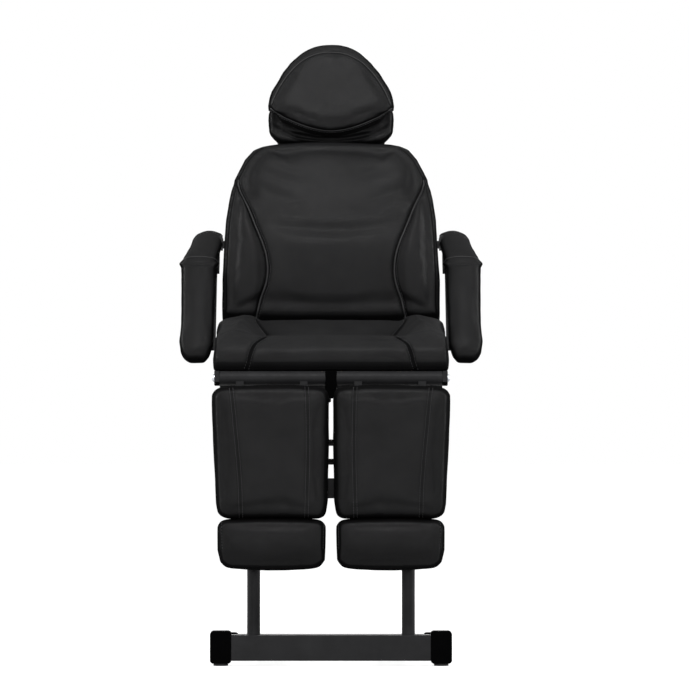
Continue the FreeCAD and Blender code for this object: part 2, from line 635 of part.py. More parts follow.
def make_under_seat():
    """Control box with its inlet, and the backrest drive."""
    top = "frame_low"
    box_low = ("box_x", "mid_member_at", f"{top} - box_height")
    box_high = ("box_x + box_width", "mid_member_at + box_depth", top)
    case = rounded(box(box_low, box_high), "edge_round", "z")
    back = "mid_member_at + box_depth"
    middle_z = f"{top} - box_height / 2"
    inlet_x = "box_x + box_width / 3"
    recess = box((f"{inlet_x} - inlet_width / 2", f"{back} - inlet_depth",
                  f"{middle_z} - inlet_height / 2"),
                 (f"{inlet_x} + inlet_width / 2", back, f"{middle_z} + inlet_height / 2"))
    node("control_box", "seat", cut(case, recess))
    shell = box((f"{inlet_x} - inlet_width / 2", f"{back} - inlet_depth",
                 f"{middle_z} - inlet_height / 2"),
                (f"{inlet_x} + inlet_width / 2", back, f"{middle_z} + inlet_height / 2"))
    mouth = box((f"{inlet_x} - inlet_width / 2 + tube_wall", f"{back} - inlet_recess",
                 f"{middle_z} - inlet_height / 2 + tube_wall"),
                (f"{inlet_x} + inlet_width / 2 - tube_wall", back,
                 f"{middle_z} + inlet_height / 2 - tube_wall"))
    inlet = cut(shell, mouth)
    socket_x = "box_x + 3 * box_width / 4"
    plug_seat = box((f"{socket_x} - socket_size / 2", back, f"{middle_z} - socket_size / 2"),
                    (f"{socket_x} + socket_size / 2", f"{back} + socket_depth",
                     f"{middle_z} + socket_size / 2"))
    node("power_sockets", "seat", inlet, rounded(plug_seat, "pin_inset", "y"))

    level, line = "back_drive_z", "0 - lever_x"
    gear_low = (f"{line} - back_box_half", "back_box_front", f"{top} - back_box_high")
    gear_high = (f"{line} + back_motor_apart + back_motor_radius", "back_drive_front", top)
    gear = rounded(box(gear_low, gear_high), "edge_round", "y")
    motor = rod((f"{line} + back_motor_apart", "back_drive_front", f"{level} - tube_wall"),
                "back_motor_length", "back_motor_radius", "y")
    node("back_motor", "seat", fuse(gear, motor))
    tube_length = "back_drive_end - back_drive_front"
    shell = rod((line, "back_drive_front", level), tube_length, "back_drive_radius", "y")
    hollow = rod((line, "back_drive_front", level), tube_length,
                 "back_rod_radius + running_clearance", "y")
    node("back_drive_tube", "seat", cut(shell, hollow))
    start = "back_drive_end - back_rod_grip"
    stem = rod((line, start, level), f"back_pin_y - ({start})", "back_rod_radius", "y")
    head = box((f"{line} - back_eye_half", "back_pin_y - back_eye_half",
                f"{level} - back_eye_half"),
               (f"{line} + back_eye_half", "back_pin_y + back_eye_half",
                f"{level} + back_eye_half"))
    reach = "lever_apart + lever_plate + pin_inset"
    pin = rod((f"{line} - ({reach})", "back_pin_y", level), f"2 * ({reach})",
              "back_pin_radius", "x")
    node("back_drive_rod", "seat", fuse(stem, head, pin))


def knob_body(label):
    """A lobed hand knob on its stem, standing along +Z."""
    body = doc.addObject("PartDesign::Body", label)
    core = sketch_on(body, "XY_Plane", "knob_stem")
    draw_circle(core, ("0", "0"), "knob_radius - knob_lobe_radius / 2")
    hub = body.newObject("PartDesign::Pad", "hub")
    hub.Profile = core
    bind(hub, "Length", "knob_length")
    outline = sketch_on(body, "XY_Plane", "knob_stem")
    draw_circle(outline, ("knob_radius - knob_lobe_radius", "0"), "knob_lobe_radius")
    lobe = body.newObject("PartDesign::Pad", "lobe")
    lobe.Profile = outline
    bind(lobe, "Length", "knob_length")
    ring_of_lobes = body.newObject("PartDesign::PolarPattern", "lobes")
    ring_of_lobes.Originals = [lobe]
    ring_of_lobes.Axis = (outline, ["N_Axis"])
    ring_of_lobes.Angle = 360
    ring_of_lobes.Occurrences = 6
    body.Tip = ring_of_lobes
    foot = sketch_on(body, "XY_Plane")
    draw_circle(foot, ("0", "0"), "knob_stem_radius")
    stem = body.newObject("PartDesign::Pad", "stem")
    stem.Profile = foot
    bind(stem, "Length", "knob_stem")
    return body


def knob(label, frame, place):
    """A knob that stands on a face and points to the back."""
    body = knob_body(label)
    body.Placement = FreeCAD.Placement(FreeCAD.Vector(), FreeCAD.Rotation(X_AXIS, -QUARTER))
    for letter, text in zip("xyz", place):
        bind(body, "Placement.Base." + letter, text)
    node(label, frame, body)


def make_leg(side, sign):
    """One leg rest: hinge sleeve with guides, board, latch, and the sliding foot part."""
    def across(near, far):
        return (near, far) if sign > 0 else (f"0 - ({far})", f"0 - ({near})")

    inner, outer = across("hinge_centre_half + side_clearance", "frame_half - side_clearance")
    length = f"({outer}) - ({inner})"
    sleeve = rod((inner, "0", "0"), length, "sleeve_radius", "x")
    bore = rod((inner, "0", "0"), length, "leg_shaft_radius + sleeve_clearance", "x")
    slide_y = "0 - guide_size / 2 - side_clearance * 2"
    parts = [sleeve]
    hollows = [bore]
    rods = []
    for place in ("guide_inner_x", "guide_outer_x"):
        near, far = across(f"{place} - guide_size / 2", f"{place} + guide_size / 2")
        parts.append(box((near, f"{slide_y} - guide_size / 2", "guide_end"),
                         (far, f"{slide_y} + guide_size / 2", "guide_top")))
        near, far = across(f"{place} - guide_bore / 2", f"{place} + guide_bore / 2")
        hollows.append(box((near, f"{slide_y} - guide_bore / 2", "guide_end"),
                           (far, f"{slide_y} + guide_bore / 2", "rod_top + guide_size")))
        near, far = across(f"{place} - rod_size / 2", f"{place} + rod_size / 2")
        rods.append(box((near, f"{slide_y} - rod_size / 2", "rod_end"),
                        (far, f"{slide_y} + rod_size / 2", "rod_top")))
    near, far = across("guide_inner_x + guide_size / 2", "guide_outer_x - guide_size / 2")
    parts.append(box((near, f"{slide_y} - guide_size / 2", "leg_stretcher_at - leg_board_thick"),
                     (far, f"{slide_y}", "leg_stretcher_at")))
    sweep = "ratchet_last - ratchet_first"
    wheel = doc.addObject("Part::Cylinder", "ratchet")
    bind(wheel, "Radius", "ratchet_radius")
    bind(wheel, "Height", "ratchet_thick")
    bind(wheel, "Angle", sweep)
    start = f"{turned(sign, 'ratchet_x')} - ratchet_thick / 2"
    # The sector starts on the sketch plane's Y axis and turns towards Z.
    facing = FreeCAD.Rotation(FreeCAD.Vector(0, 1, 0), FreeCAD.Vector(0, 0, 1), X_AXIS, "XYZ")
    first = FreeCAD.Rotation(X_AXIS, size("ratchet_first"))
    wheel.Placement = FreeCAD.Placement(FreeCAD.Vector(), first.multiply(facing))
    bind(wheel, "Placement.Base.x", start)
    parts.append(wheel)
    node(f"leg_frame_{side}", "seat", cut(fuse(*parts), *hollows))

    face = f"{slide_y} - guide_size / 2"
    near, far = across("calf_inner + board_margin", "calf_outer - board_margin")
    board = box((near, f"{face} - leg_board_thick", "calf_bottom + board_margin"),
                (far, face, "calf_top - board_margin"))
    node(f"calf_board_{side}", "seat", rounded(board, "board_margin", "y"))

    near, far = across("guide_inner_x - rod_size / 2", "guide_outer_x + rod_size / 2")
    bridge = box((near, face, "rod_end"),
                 (far, f"{slide_y} + rod_size / 2", "rod_end + foot_stretcher"))
    node(f"foot_frame_{side}", "seat", fuse(*rods, bridge))
    near, far = across("foot_inner + board_margin", "foot_outer - board_margin")
    board = box((near, f"{face} - leg_board_thick", "foot_bottom + board_margin"),
                (far, face, "foot_top - board_margin"))
    node(f"foot_board_{side}", "seat", rounded(board, "board_margin", "y"))
    knob(f"foot_knob_{side}", "seat",
         (turned(sign, "guide_inner_x"), f"{slide_y} + guide_size / 2", "foot_knob_z"))

    width = "latch_width / 2"
    end_y, end_z = "latch_y + latch_reach", "latch_z - latch_drop"
    outline = [("ratchet_radius * 0.62", "0 - ratchet_radius * 0.94"),
               ("ratchet_radius * 0.46", "0 - ratchet_radius * 1.12"),
               (f"latch_y - {width}", f"latch_z - {width}"), (end_y, f"{end_z} - {width}"),
               (end_y, f"{end_z} + {width}"), (f"latch_y + {width}", f"latch_z + {width}"),
               (f"latch_y - {width}", f"latch_z + {width}")]
    hole = ((("latch_y", "latch_z"), "latch_pin_radius + running_clearance"),)
    lever = plate(f"lever_{side}", turned(sign, "ratchet_x"), "ratchet_thick", outline, hole)
    grip = rod((turned(sign, "ratchet_x"), end_y, end_z), "grip_length", "grip_radius", "y")
    node(f"leg_lever_{side}", "seat", fuse(lever, grip))


def make_backrest():
    """Steel frame with sleeve, lever and sockets; board; shafts and armrest brackets."""
    deep = "back_tube"
    pieces = [rod(("0 - back_sleeve_half", "0", "0"), "2 * back_sleeve_half",
                  "back_sleeve_radius", "x")]
    for _side, sign in SIDES:
        middle = turned(sign, "back_tube_x")
        pieces.append(box((f"{middle} - {deep} / 2", "0", "0"),
                          (f"{middle} + {deep} / 2", deep, "back_tube_top")))
    for level in ("back_stretcher_low", "back_stretcher_high"):
        pieces.append(box(("0 - back_tube_x", "0", f"{level} - {deep} / 2"),
                          ("back_tube_x", deep, f"{level} + {deep} / 2")))
    bores = [rod(("0 - back_sleeve_half", "0", "0"), "2 * back_sleeve_half",
                 "back_shaft_radius + running_clearance", "x")]
    for _side, sign in SIDES:
        foot = (turned(sign, "head_post_x"), "head_post_y")
        pieces.append(rod(foot + ("socket_low",), "socket_high - socket_low",
                          "socket_radius", "z"))
        bores.append(rod(foot + ("head_post_low - socket_radius",),
                         "socket_high - head_post_low + socket_radius",
                         "head_post_radius + sleeve_clearance", "z"))

    def on_lever(along, aside):
        return (f"({along}) * cos(lever_way) - ({aside}) * sin(lever_way)",
                f"({along}) * sin(lever_way) + ({aside}) * cos(lever_way)")

    wide, tip = "lever_half", "lever_tip"
    outline = [on_lever("0", wide), on_lever(f"{tip} - {wide} / 2", wide),
               on_lever(tip, f"{wide} / 2"), on_lever(tip, f"0 - {wide} / 2"),
               on_lever(f"{tip} - {wide} / 2", f"0 - {wide}"), on_lever("0", f"0 - {wide}")]
    near = "lever_drop - back_pin_radius - slot_spare"
    far = "lever_far + back_pin_radius + slot_spare"
    slot = [on_lever(near, "slot_half"), on_lever(far, "slot_half"),
            on_lever(far, "0 - slot_half"), on_lever(near, "0 - slot_half")]
    for hand in (-1, 1):
        middle = f"0 - lever_x + {hand} * (lever_apart + lever_plate / 2)"
        body = doc.addObject("PartDesign::Body", "lever_plate")
        sketch = sketch_on(body, "YZ_Plane", middle)
        draw_polygon(sketch, outline)
        draw_polygon(sketch, slot)
        pad(body, sketch, "lever_plate")
        pieces.append(body)
    node("back_frame", "back", cut(fuse(*pieces), *bores))

    low, high = "back_low + back_board_inset", "back_low + back_length - back_board_inset"
    wide = "back_half_width - back_board_inset"
    outline = []
    board_shares = ((1.0, 0.0), (0.99, 0.55), (0.9, 0.8), (0.72, 0.97), (0.68, 1.0))
    for across, up in board_shares:
        outline.append((f"{across} * ({wide})", f"{low} + {up} * ({high} - ({low}))"))
    left = [(f"0 - ({across})", up) for across, up in reversed(outline)]
    body = doc.addObject("PartDesign::Body", "board")
    sketch = sketch_on(body, "XZ_Plane", "back_board_thick / 2")
    draw_polygon(sketch, outline + left)
    pad(body, sketch, "back_board_thick")
    node("back_board", "back", body)

    brackets = []
    level, reach = "armrest_up", "armrest_front"
    lug_inner = "armrest_plate_x - side_clearance * 2 - armrest_lug_thick"
    for _side, sign in SIDES:
        ends = ("back_tube_x + back_tube / 2", f"{lug_inner} + armrest_lug_thick")
        near, far = ends if sign > 0 else (f"0 - ({ends[1]})", f"0 - ({ends[0]})")
        bar = box((near, "0", f"{level} - armrest_bar_high / 2"),
                  (far, "armrest_bar_thick", f"{level} + armrest_bar_high / 2"))
        half = "armrest_lug_half"
        outline = [("armrest_bar_thick", f"{level} - {half}"),
                   ("armrest_bar_thick", f"{level} + {half}"),
                   (f"0 - {reach} - {half} / 2", f"{level} + {half}"),
                   (f"0 - {reach} - {half}", f"{level} + {half} / 2"),
                   (f"0 - {reach} - {half}", f"{level} - {half} / 2"),
                   (f"0 - {reach} - {half} / 2", f"{level} - {half}")]
        lug = plate("armrest_lug", turned(sign, f"{lug_inner} + armrest_lug_thick / 2"),
                    "armrest_lug_thick", outline)
        begin = lug_inner
        length = "armrest_lug_thick + side_clearance * 2 + armrest_plate"
        if sign < 0:
            begin = f"0 - ({lug_inner}) - ({length})"
        pin = rod((begin, f"0 - {reach}", level), length, "armrest_pin_radius", "x")
        brackets.append(fuse(bar, lug, pin))
    node("armrest_brackets", "back", *brackets)
    knob("headrest_knob", "back", ("head_post_x", "head_post_y + socket_radius", "head_knob_z"))


def make_headrest():
    """Posts with crossbar, tilt bracket and board."""
    bars = [rod((turned(sign, "head_post_x"), "head_post_y", "head_post_low"),
                "head_axis - head_post_low", "head_post_radius", "z") for _side, sign in SIDES]
    bars.append(rod(("0 - head_post_x - head_post_radius", "head_post_y", "head_axis"),
                    "2 * (head_post_x + head_post_radius)", "head_post_radius", "x"))
    node("headrest_posts", "back", fuse(*bars))
    half = "head_plate_half"
    pieces = [box((f"0 - {half}", "0 - head_plate", "head_axis - head_plate_high / 2"),
                  (half, "0", "head_axis + head_plate_high / 2"))]
    bores = []
    for _side, sign in SIDES:
        middle = turned(sign, "head_hub_x")
        start = (f"{middle} - head_hub_half", "head_post_y", "head_axis")
        pieces.append(rod(start, "2 * head_hub_half", "head_hub_radius", "x"))
        pieces.append(box((f"{middle} - head_hub_half", "0", "head_axis - head_hub_radius"),
                          (f"{middle} + head_hub_half", "head_post_y",
                           "head_axis + head_hub_radius")))
        bores.append(rod(start, "2 * head_hub_half", "head_post_radius + running_clearance", "x"))
    node("headrest_bracket", "back", cut(fuse(*pieces), *bores))
    wide = "head_base_half - head_board_inset"
    low, high = "head_base_low + head_board_inset", "head_base_high - head_board_inset"
    corners = [BASE_SHARES[0][-1]] + [pair for edge in BASE_SHARES[1:] for pair in edge]
    outline = [(f"{across} * ({wide})", f"{low} + {up} * ({high} - ({low}))")
               for across, up in corners]
    left = [(f"0 - ({across})", up) for across, up in reversed(outline)]
    body = doc.addObject("PartDesign::Body", "board")
    sketch = sketch_on(body, "XZ_Plane", "head_plate + head_board_thick / 2")
    draw_polygon(sketch, outline + left)
    pad(body, sketch, "head_board_thick")
    node("headrest_board", "back", body)


def on_upper(along, below):
    """A point beside the armrest's upper run, measured back from the bend."""
    return (f"armrest_bend_y + ({along}) * cos(armrest_upper_angle)"
            f" + ({below}) * sin(armrest_upper_angle)",
            f"armrest_bend_z + ({along}) * sin(armrest_upper_angle)"
            f" - ({below}) * cos(armrest_upper_angle)")


def on_lower(along, below):
    """A point beside the armrest's lower run, measured forward from the bend."""
    return (f"armrest_bend_y - ({along}) * cos(armrest_lower_angle)"
            f" + ({below}) * sin(armrest_lower_angle)",
            f"armrest_bend_z - ({along}) * sin(armrest_lower_angle)"
            f" - ({below}) * cos(armrest_lower_angle)")


def on_bend(below):
    """A point under the bend, square to the mean of both runs."""
    mean = "(armrest_upper_angle + armrest_lower_angle) / 2"
    half_turn = "(armrest_lower_angle - armrest_upper_angle) / 2"
    return (f"armrest_bend_y + ({below}) * sin({mean}) / cos({half_turn})",
            f"armrest_bend_z - ({below}) * cos({mean}) / cos({half_turn})")


def make_armrest(side, sign):
    """Steel arm: a plate with the pin hole, and a bar that follows the pad's underside."""
    under = "armrest_half_thick + tab_gap"
    deep = f"{under} + armrest_tab_thick"
    hub = "armrest_lug_half"
    start_share, above_share, below_share, far_share = 0.62, 0.25, 0.12, 0.82
    outline = [on_bend(deep), on_upper("armrest_upper / 2", deep), (hub, f"0 - {hub} / 2"),
               (hub, f"{hub} / 2"), (f"{hub} / 2", hub), (f"0 - {hub} / 2", hub),
               (f"0 - {hub}", f"{hub} / 2"), (f"0 - {hub}", f"0 - {hub} / 2"),
               on_bend(f"{deep} - armrest_strap")]
    hole = ((("0", "0"), "armrest_pin_radius + running_clearance"),)
    middle = turned(sign, "armrest_plate_x + armrest_plate / 2")
    pieces = [plate(f"armrest_plate_{side}", middle, "armrest_plate", outline, hole)]
    stops = [(on_upper, f"{start_share} * armrest_upper"),
             (on_upper, f"{above_share} * armrest_upper"),
             (on_lower, f"{below_share} * armrest_lower"),
             (on_lower, f"{far_share} * armrest_lower")]
    bar = [beside(along, under) for beside, along in stops]
    bar += [beside(along, deep) for beside, along in reversed(stops)]
    middle = turned(sign, "armrest_plate_x + armrest_plate + armrest_tab / 2")
    pieces.append(plate("armrest_bar", middle, "armrest_tab", bar))
    node(f"armrest_arm_{side}", "armrest", fuse(*pieces))


# Soft forms: each cushion is a loft through closed rings of lines and arcs.
# A shape is a start point and edges; an edge is (end,) for a line or (middle, end) for an arc.

def soft_rectangle(half_u, half_v, corner, side_bow, top_bow, end_bow):
    """A rectangle with round corners whose sides bow by a little."""
    near = corner * (1 - math.cos(math.pi / 4))
    start = (half_u, -half_v + corner)
    edges = [((half_u + side_bow, 0), (half_u, half_v - corner)),
             ((half_u - near, half_v - near), (half_u - corner, half_v)),
             ((0, half_v + top_bow), (-half_u + corner, half_v)),
             ((-half_u + near, half_v - near), (-half_u, half_v - corner)),
             ((-half_u - side_bow, 0), (-half_u, -half_v + corner)),
             ((-half_u + near, -half_v + near), (-half_u + corner, -half_v)),
             ((0, -half_v - end_bow), (half_u - corner, -half_v)),
             ((half_u - near, -half_v + near), start)]
    if not end_bow:
        edges[-2] = (edges[-2][-1],)
    return start, edges


def ring(shape, place):
    """A closed wire: place turns each flat point of the shape into a point in space."""
    here, edges = shape
    made = []
    for edge in edges:
        there = edge[-1]
        if len(edge) == 2:
            made.append(Part.Arc(place(here), place(edge[0]), place(there)).toShape())
        else:
            made.append(Part.LineSegment(place(here), place(there)).toShape())
        here = there
    return Part.Wire(made)


def soft_part(rings):
    return Part.makeLoft(rings, True, False)


def soft_node(label, frame, *solids):
    """A soft piece; its sizes are read from the sheet, so its place is set after its shape."""
    piece = doc.addObject("Part::Feature", label)
    piece.Shape = solids[0] if len(solids) == 1 else Part.makeCompound(list(solids))
    node(label, frame, piece)


# Depth share from the back to the front, and the part of the crown's inset at that depth.
CROWN_SHARES = ((0.0, 0.16), (0.22, 0.0), (0.6, 0.0), (0.87, 0.2), (1.0, 0.95))


def standing_cushion(shape, half, centre, back, depth, crown):
    """A cushion that faces the front: rings drawn in at its back, swelling, then crowned."""
    rings = []
    for depth_share, inset_share in CROWN_SHARES:
        squeeze = [(side - crown * inset_share) / side for side in half]
        level = back - depth * depth_share

        def place(point, squeeze=squeeze, level=level):
            return FreeCAD.Vector(centre[0] + (point[0] - centre[0]) * squeeze[0], level,
                                  centre[1] + (point[1] - centre[1]) * squeeze[1])
        rings.append(ring(shape, place))
    return soft_part(rings)


def moved(shape, across, up):
    """The shape shifted in its own plane."""
    start, edges = shape
    shift = [[(point[0] + across, point[1] + up) for point in edge] for edge in edges]
    return (start[0] + across, start[1] + up), shift


def make_leg_pads(side, sign):
    face = size("0 - guide_size - side_clearance * 2 - leg_board_thick")
    depth = size("pad_depth")
    pads = (("calf_pad", "calf_inner", "calf_outer", "calf_bottom", "calf_top", "calf_crown",
             "pad_corner", "calf_top_bow", "calf_end_bow"),
            ("foot_pad", "foot_inner", "foot_outer", "foot_bottom", "foot_top", "foot_crown",
             "foot_corner", "foot_bow", "foot_bow"))
    for label, inner, outer, low, high, crown, corner, top_bow, end_bow in pads:
        half = (size(f"({outer} - {inner}) / 2"), size(f"({high} - ({low})) / 2"))
        centre = (sign * size(f"({outer} + {inner}) / 2"), size(f"({high} + {low}) / 2"))
        shape = soft_rectangle(*half, size(corner), size("side_bow"), size(top_bow),
                               size(end_bow))
        soft_node(f"{label}_{side}", "seat", standing_cushion(
            moved(shape, *centre), half, centre, face, depth, size(crown)))


# Shares of the backrest's half width and length, from the pivot end up.
CORE_SIDE_SHARES = (((0.605, 0.13), (0.595, 0.28)), ((0.69, 0.53), (0.885, 0.775)),
                    ((0.82, 0.905), (0.7, 0.985)))
CORE_FOOT_SHARES = (0.68, 0.0)
BOLSTER_OUTER_SHARES = (((0.997, 0.3), (0.965, 0.55)), ((0.94, 0.68), (0.9, 0.755)))
TOP_BOW_SHARE = 1.0


def make_back_cushions():
    wide, long, low = size("back_half_width"), size("back_length"), size("back_low")
    back, gap = size("0 - back_board_thick"), size("seam_gap")

    def spot(pair, aside=0):
        return (pair[0] * wide + aside, low + pair[1] * long)

    def flipped(point):
        return (-point[0], point[1])

    start = spot(CORE_FOOT_SHARES)
    right = [[spot(pair) for pair in edge] for edge in CORE_SIDE_SHARES]
    top = [[(0, low + long * TOP_BOW_SHARE), flipped(right[-1][-1])]]
    ends = [start] + [edge[-1] for edge in right]
    left = [[flipped(right[index][0]), flipped(ends[index])]
            for index in range(len(right) - 1, -1, -1)]
    foot = [[(0, low - size("foot_bow")), start]]
    half = (wide * CORE_SIDE_SHARES[1][1][0], long / 2)
    centre = (0, low + long / 2)
    core = standing_cushion((start, right + top + left + foot), half, centre, back,
                            size("back_pad_depth"), size("back_crown"))
    soft_node("back_cushion", "back", core)

    bolsters = []
    for _side, sign in SIDES:
        start = spot(CORE_FOOT_SHARES, gap)
        tip = spot(BOLSTER_OUTER_SHARES[-1][-1])
        outer = [[spot(pair) for pair in edge] for edge in BOLSTER_OUTER_SHARES]
        inner_top, inner_low = CORE_SIDE_SHARES[1], CORE_SIDE_SHARES[0]
        seam_end = spot(inner_top[1], gap * 2)
        seam_end = (seam_end[0] - gap * 2, tip[1] - gap * 2)
        edges = [[(wide, low)]] + outer + [[seam_end]]
        edges += [[spot(inner_top[0], gap * 2), spot(inner_low[1], gap)],
                  [spot(inner_low[0], gap), start]]
        half = (wide * (1 - inner_low[1][0]) / 2, (tip[1] - low) / 2)
        centre = (sign * (wide - half[0]), (tip[1] + low) / 2)
        side_shape = ((sign * start[0], start[1]),
                      [[(sign * point[0], point[1]) for point in edge] for edge in edges])
        bolsters.append(standing_cushion(side_shape, half, centre, back,
                                         size("back_pad_depth + back_bolster_extra"),
                                         size("bolster_crown")))
    soft_node("back_bolsters", "back", *bolsters)


# Shares of the seat's length and height: profile of the middle, then of the bolsters.
SEAT_SHARES = (((0.015, 0.0), (0.015, 0.0)),
               ((0.0, 0.42), (0.0, 0.42)), ((0.045, 0.84), (0.045, 0.88)),
               ((0.085, 0.965), (0.085, 1.06)), ((0.155, 1.0), (0.155, 1.17)),
               ((0.44, 0.86), (0.44, 1.4)), ((0.78, 1.12), (0.78, 1.54)),
               ((0.9, 1.42), (0.9, 1.62)), ((0.965, 1.57), (0.965, 1.63)),
               ((1.0, 1.36), (1.0, 1.36)), ((1.0, 0.7), (1.0, 0.7)),
               ((0.985, 0.0), (0.985, 0.0)))
SEAT_LINES = 2
CORE_WIDTH_SHARES = ((-1.0, 0.965), (-0.8, 0.99), (0.0, 1.0), (0.8, 0.99), (1.0, 0.965))
# For a bolster: width share from the seam, rise share, height share.
BOLSTER_WIDTH_SHARES = ((0.0, 0.12, 0.97), (0.28, 0.75, 1.0), (0.58, 1.0, 1.0),
                        (0.86, 0.88, 0.985), (1.0, 0.45, 0.92))


def seat_ring(across, rise_share, height_share):
    """The seat's side profile at one place across it."""
    front, long = size("seat_front"), size("seat_length")
    base, tall = size("board_top"), size("seat_height") * height_share
    points = []
    for middle, side in SEAT_SHARES:
        along = middle[0] + (side[0] - middle[0]) * rise_share
        up = middle[1] + (side[1] - middle[1]) * rise_share
        points.append((front + along * long, base + up * tall))
    edges = []
    index = 1
    while index + 1 < len(points) - SEAT_LINES + 1:
        edges.append([points[index], points[index + 1]])
        index += 2
    edges.append([points[-1]])
    edges.append([points[0]])
    return ring((points[0], edges), lambda point: FreeCAD.Vector(across, *point))


def make_seat_cushions():
    core = size("seat_core_half")
    soft_node("seat_cushion", "seat", soft_part(
        [seat_ring(core * share, 0, tall) for share, tall in CORE_WIDTH_SHARES]))
    begin, wide = core + size("seam_gap"), size("seat_half_width") - core - size("seam_gap")
    bolsters = []
    for _side, sign in SIDES:
        bolsters.append(soft_part([seat_ring(sign * (begin + wide * share), rise, tall)
                                   for share, rise, tall in BOLSTER_WIDTH_SHARES]))
    soft_node("seat_bolsters", "seat", *bolsters)


# Shares of the pillow's half width and height, from the middle of its foot.
PILLOW_SHARES = (((0.42, 0.045), (0.78, 0.14)), ((0.94, 0.2), (1.0, 0.3)),
                 ((0.96, 0.44), (0.876, 0.57)), ((0.8, 0.69), (0.67, 0.82)),
                 ((0.47, 0.925), (0.25, 0.985)))
# The same for the cushion behind it, and its corners for the board.
BASE_SHARES = (((0.38, -0.008), (0.74, 0.0)), ((0.93, 0.045), (0.985, 0.17)),
               ((0.99, 0.25), (0.975, 0.34)), ((0.93, 0.46), (0.85, 0.57)),
               ((0.77, 0.69), (0.64, 0.81)), ((0.45, 0.92), (0.22, 0.985)))


def domed_shape(shares, wide, low, tall):
    """An outline that is the same on both sides, from the middle of its foot round."""
    right = [[(pair[0] * wide, low + pair[1] * tall) for pair in edge] for edge in shares]
    ends = [(0, low)] + [edge[-1] for edge in right]
    top = [[(0, low + tall), (-ends[-1][0], ends[-1][1])]]
    left = [[(-right[index][0][0], right[index][0][1]), (-ends[index][0], ends[index][1])]
            for index in range(len(right) - 1, -1, -1)]
    return ends[0], right + top + left


def make_head_cushions():
    back = size("0 - head_plate - head_board_thick")
    cushions = (
        ("headrest_base_cushion", BASE_SHARES, "head_base_half", "head_base_low",
         "head_base_high", "head_base_depth", "head_crown"),
        ("headrest_pillow", PILLOW_SHARES, "pillow_half", "pillow_low", "pillow_high",
         "pillow_depth", "pillow_crown"))
    for label, shares, *names in cushions:
        wide, low, high, depth, crown = (size(name) for name in names)
        shape = domed_shape(shares, wide, low, high - low)
        soft_node(label, "back", standing_cushion(
            shape, (wide, (high - low) / 2), (0, (high + low) / 2), back, depth, crown))
        back -= depth + size("head_gap")


# Armrest pad stations: run (1 upper, -1 lower), share along it, thickness, width shares.
ARMREST_STATIONS = ((1, 1.1, 0.35, 0.45), (1, 0.98, 0.82, 0.66), (1, 0.62, 0.95, 0.8),
                    (1, 0.25, 1.0, 0.95), (-1, 0.12, 1.0, 1.0), (-1, 0.45, 0.98, 1.0),
                    (-1, 0.8, 0.96, 0.99), (-1, 0.95, 0.85, 0.92), (-1, 1.03, 0.42, 0.66))


def make_armrest_pad(side, sign):
    half_wide, half_thick = size("armrest_half"), size("armrest_half_thick")
    middle_x = sign * size("armrest_x")
    shape = soft_rectangle(half_wide, half_thick, size("armrest_corner"), size("side_bow"),
                           size("armrest_bow"), 0)
    rings = []
    for run, share, thick, wide in ARMREST_STATIONS:
        here = on_upper if run > 0 else on_lower
        along = f"{share} * armrest_{'upper' if run > 0 else 'lower'}"
        centre = [size(text) for text in here(along, "0")]
        under = [size(text) for text in here(along, "armrest_half_thick")]
        normal = [(centre[axis] - under[axis]) / half_thick for axis in (0, 1)]
        # The upper run narrows from its outer edge alone.
        line_x = middle_x - sign * half_wide * (1 - wide) * (run > 0)

        def place(point, centre=centre, normal=normal, thick=thick, wide=wide, line_x=line_x):
            lift = point[1] * thick
            return FreeCAD.Vector(line_x + point[0] * wide, centre[0] + normal[0] * lift,
                                  centre[1] + normal[1] * lift)
        rings.append(ring(shape, place))
    soft_node(f"armrest_pad_{side}", "armrest", soft_part(rings))


def check_and_write():
    """Stop at a failed object or a bad shape, then write every sub-part."""
    doc.recompute()
    for thing in doc.Objects:
        if "Invalid" in thing.State or "Error" in thing.State:
            raise SystemExit(f"{thing.Name} ({thing.Label}) failed: {thing.State}")
    for thing in NODES:
        if thing.Shape.isNull() or not thing.Shape.isValid() or not thing.Shape.Solids:
            raise SystemExit(f"{thing.Label} has no valid solid")
    os.makedirs("parts", exist_ok=True)
    whole = FreeCAD.BoundBox()
    for thing in NODES:
        thing.Shape.exportStep(f"parts/{thing.Label}.step")
        whole.add(thing.Shape.BoundBox)
        print(f"{thing.Label}: {len(thing.Shape.Solids)} solid(s), "
              f"{thing.Shape.Volume / 1000:.1f} cm3")
    print(f"{len(NODES)} sub-parts, X {whole.XMin:.1f} {whole.XMax:.1f}, "
          f"Y {whole.YMin:.1f} {whole.YMax:.1f}, Z {whole.ZMin:.1f} {whole.ZMax:.1f}")


make_base()
make_arms()
make_lift_drive()
make_seat_frame()
make_under_seat()
make_seat_cushions()
for side_name, side_sign in SIDES:
    make_leg(side_name, side_sign)
    make_leg_pads(side_name, side_sign)
    make_armrest(side_name, side_sign)
    make_armrest_pad(side_name, side_sign)
make_backrest()
make_back_cushions()
make_headrest()
make_head_cushions()
check_and_write()
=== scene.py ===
import bpy
import bmesh
import json
import math
import numpy as np
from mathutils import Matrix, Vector, noise
from mathutils.bvhtree import BVHTree


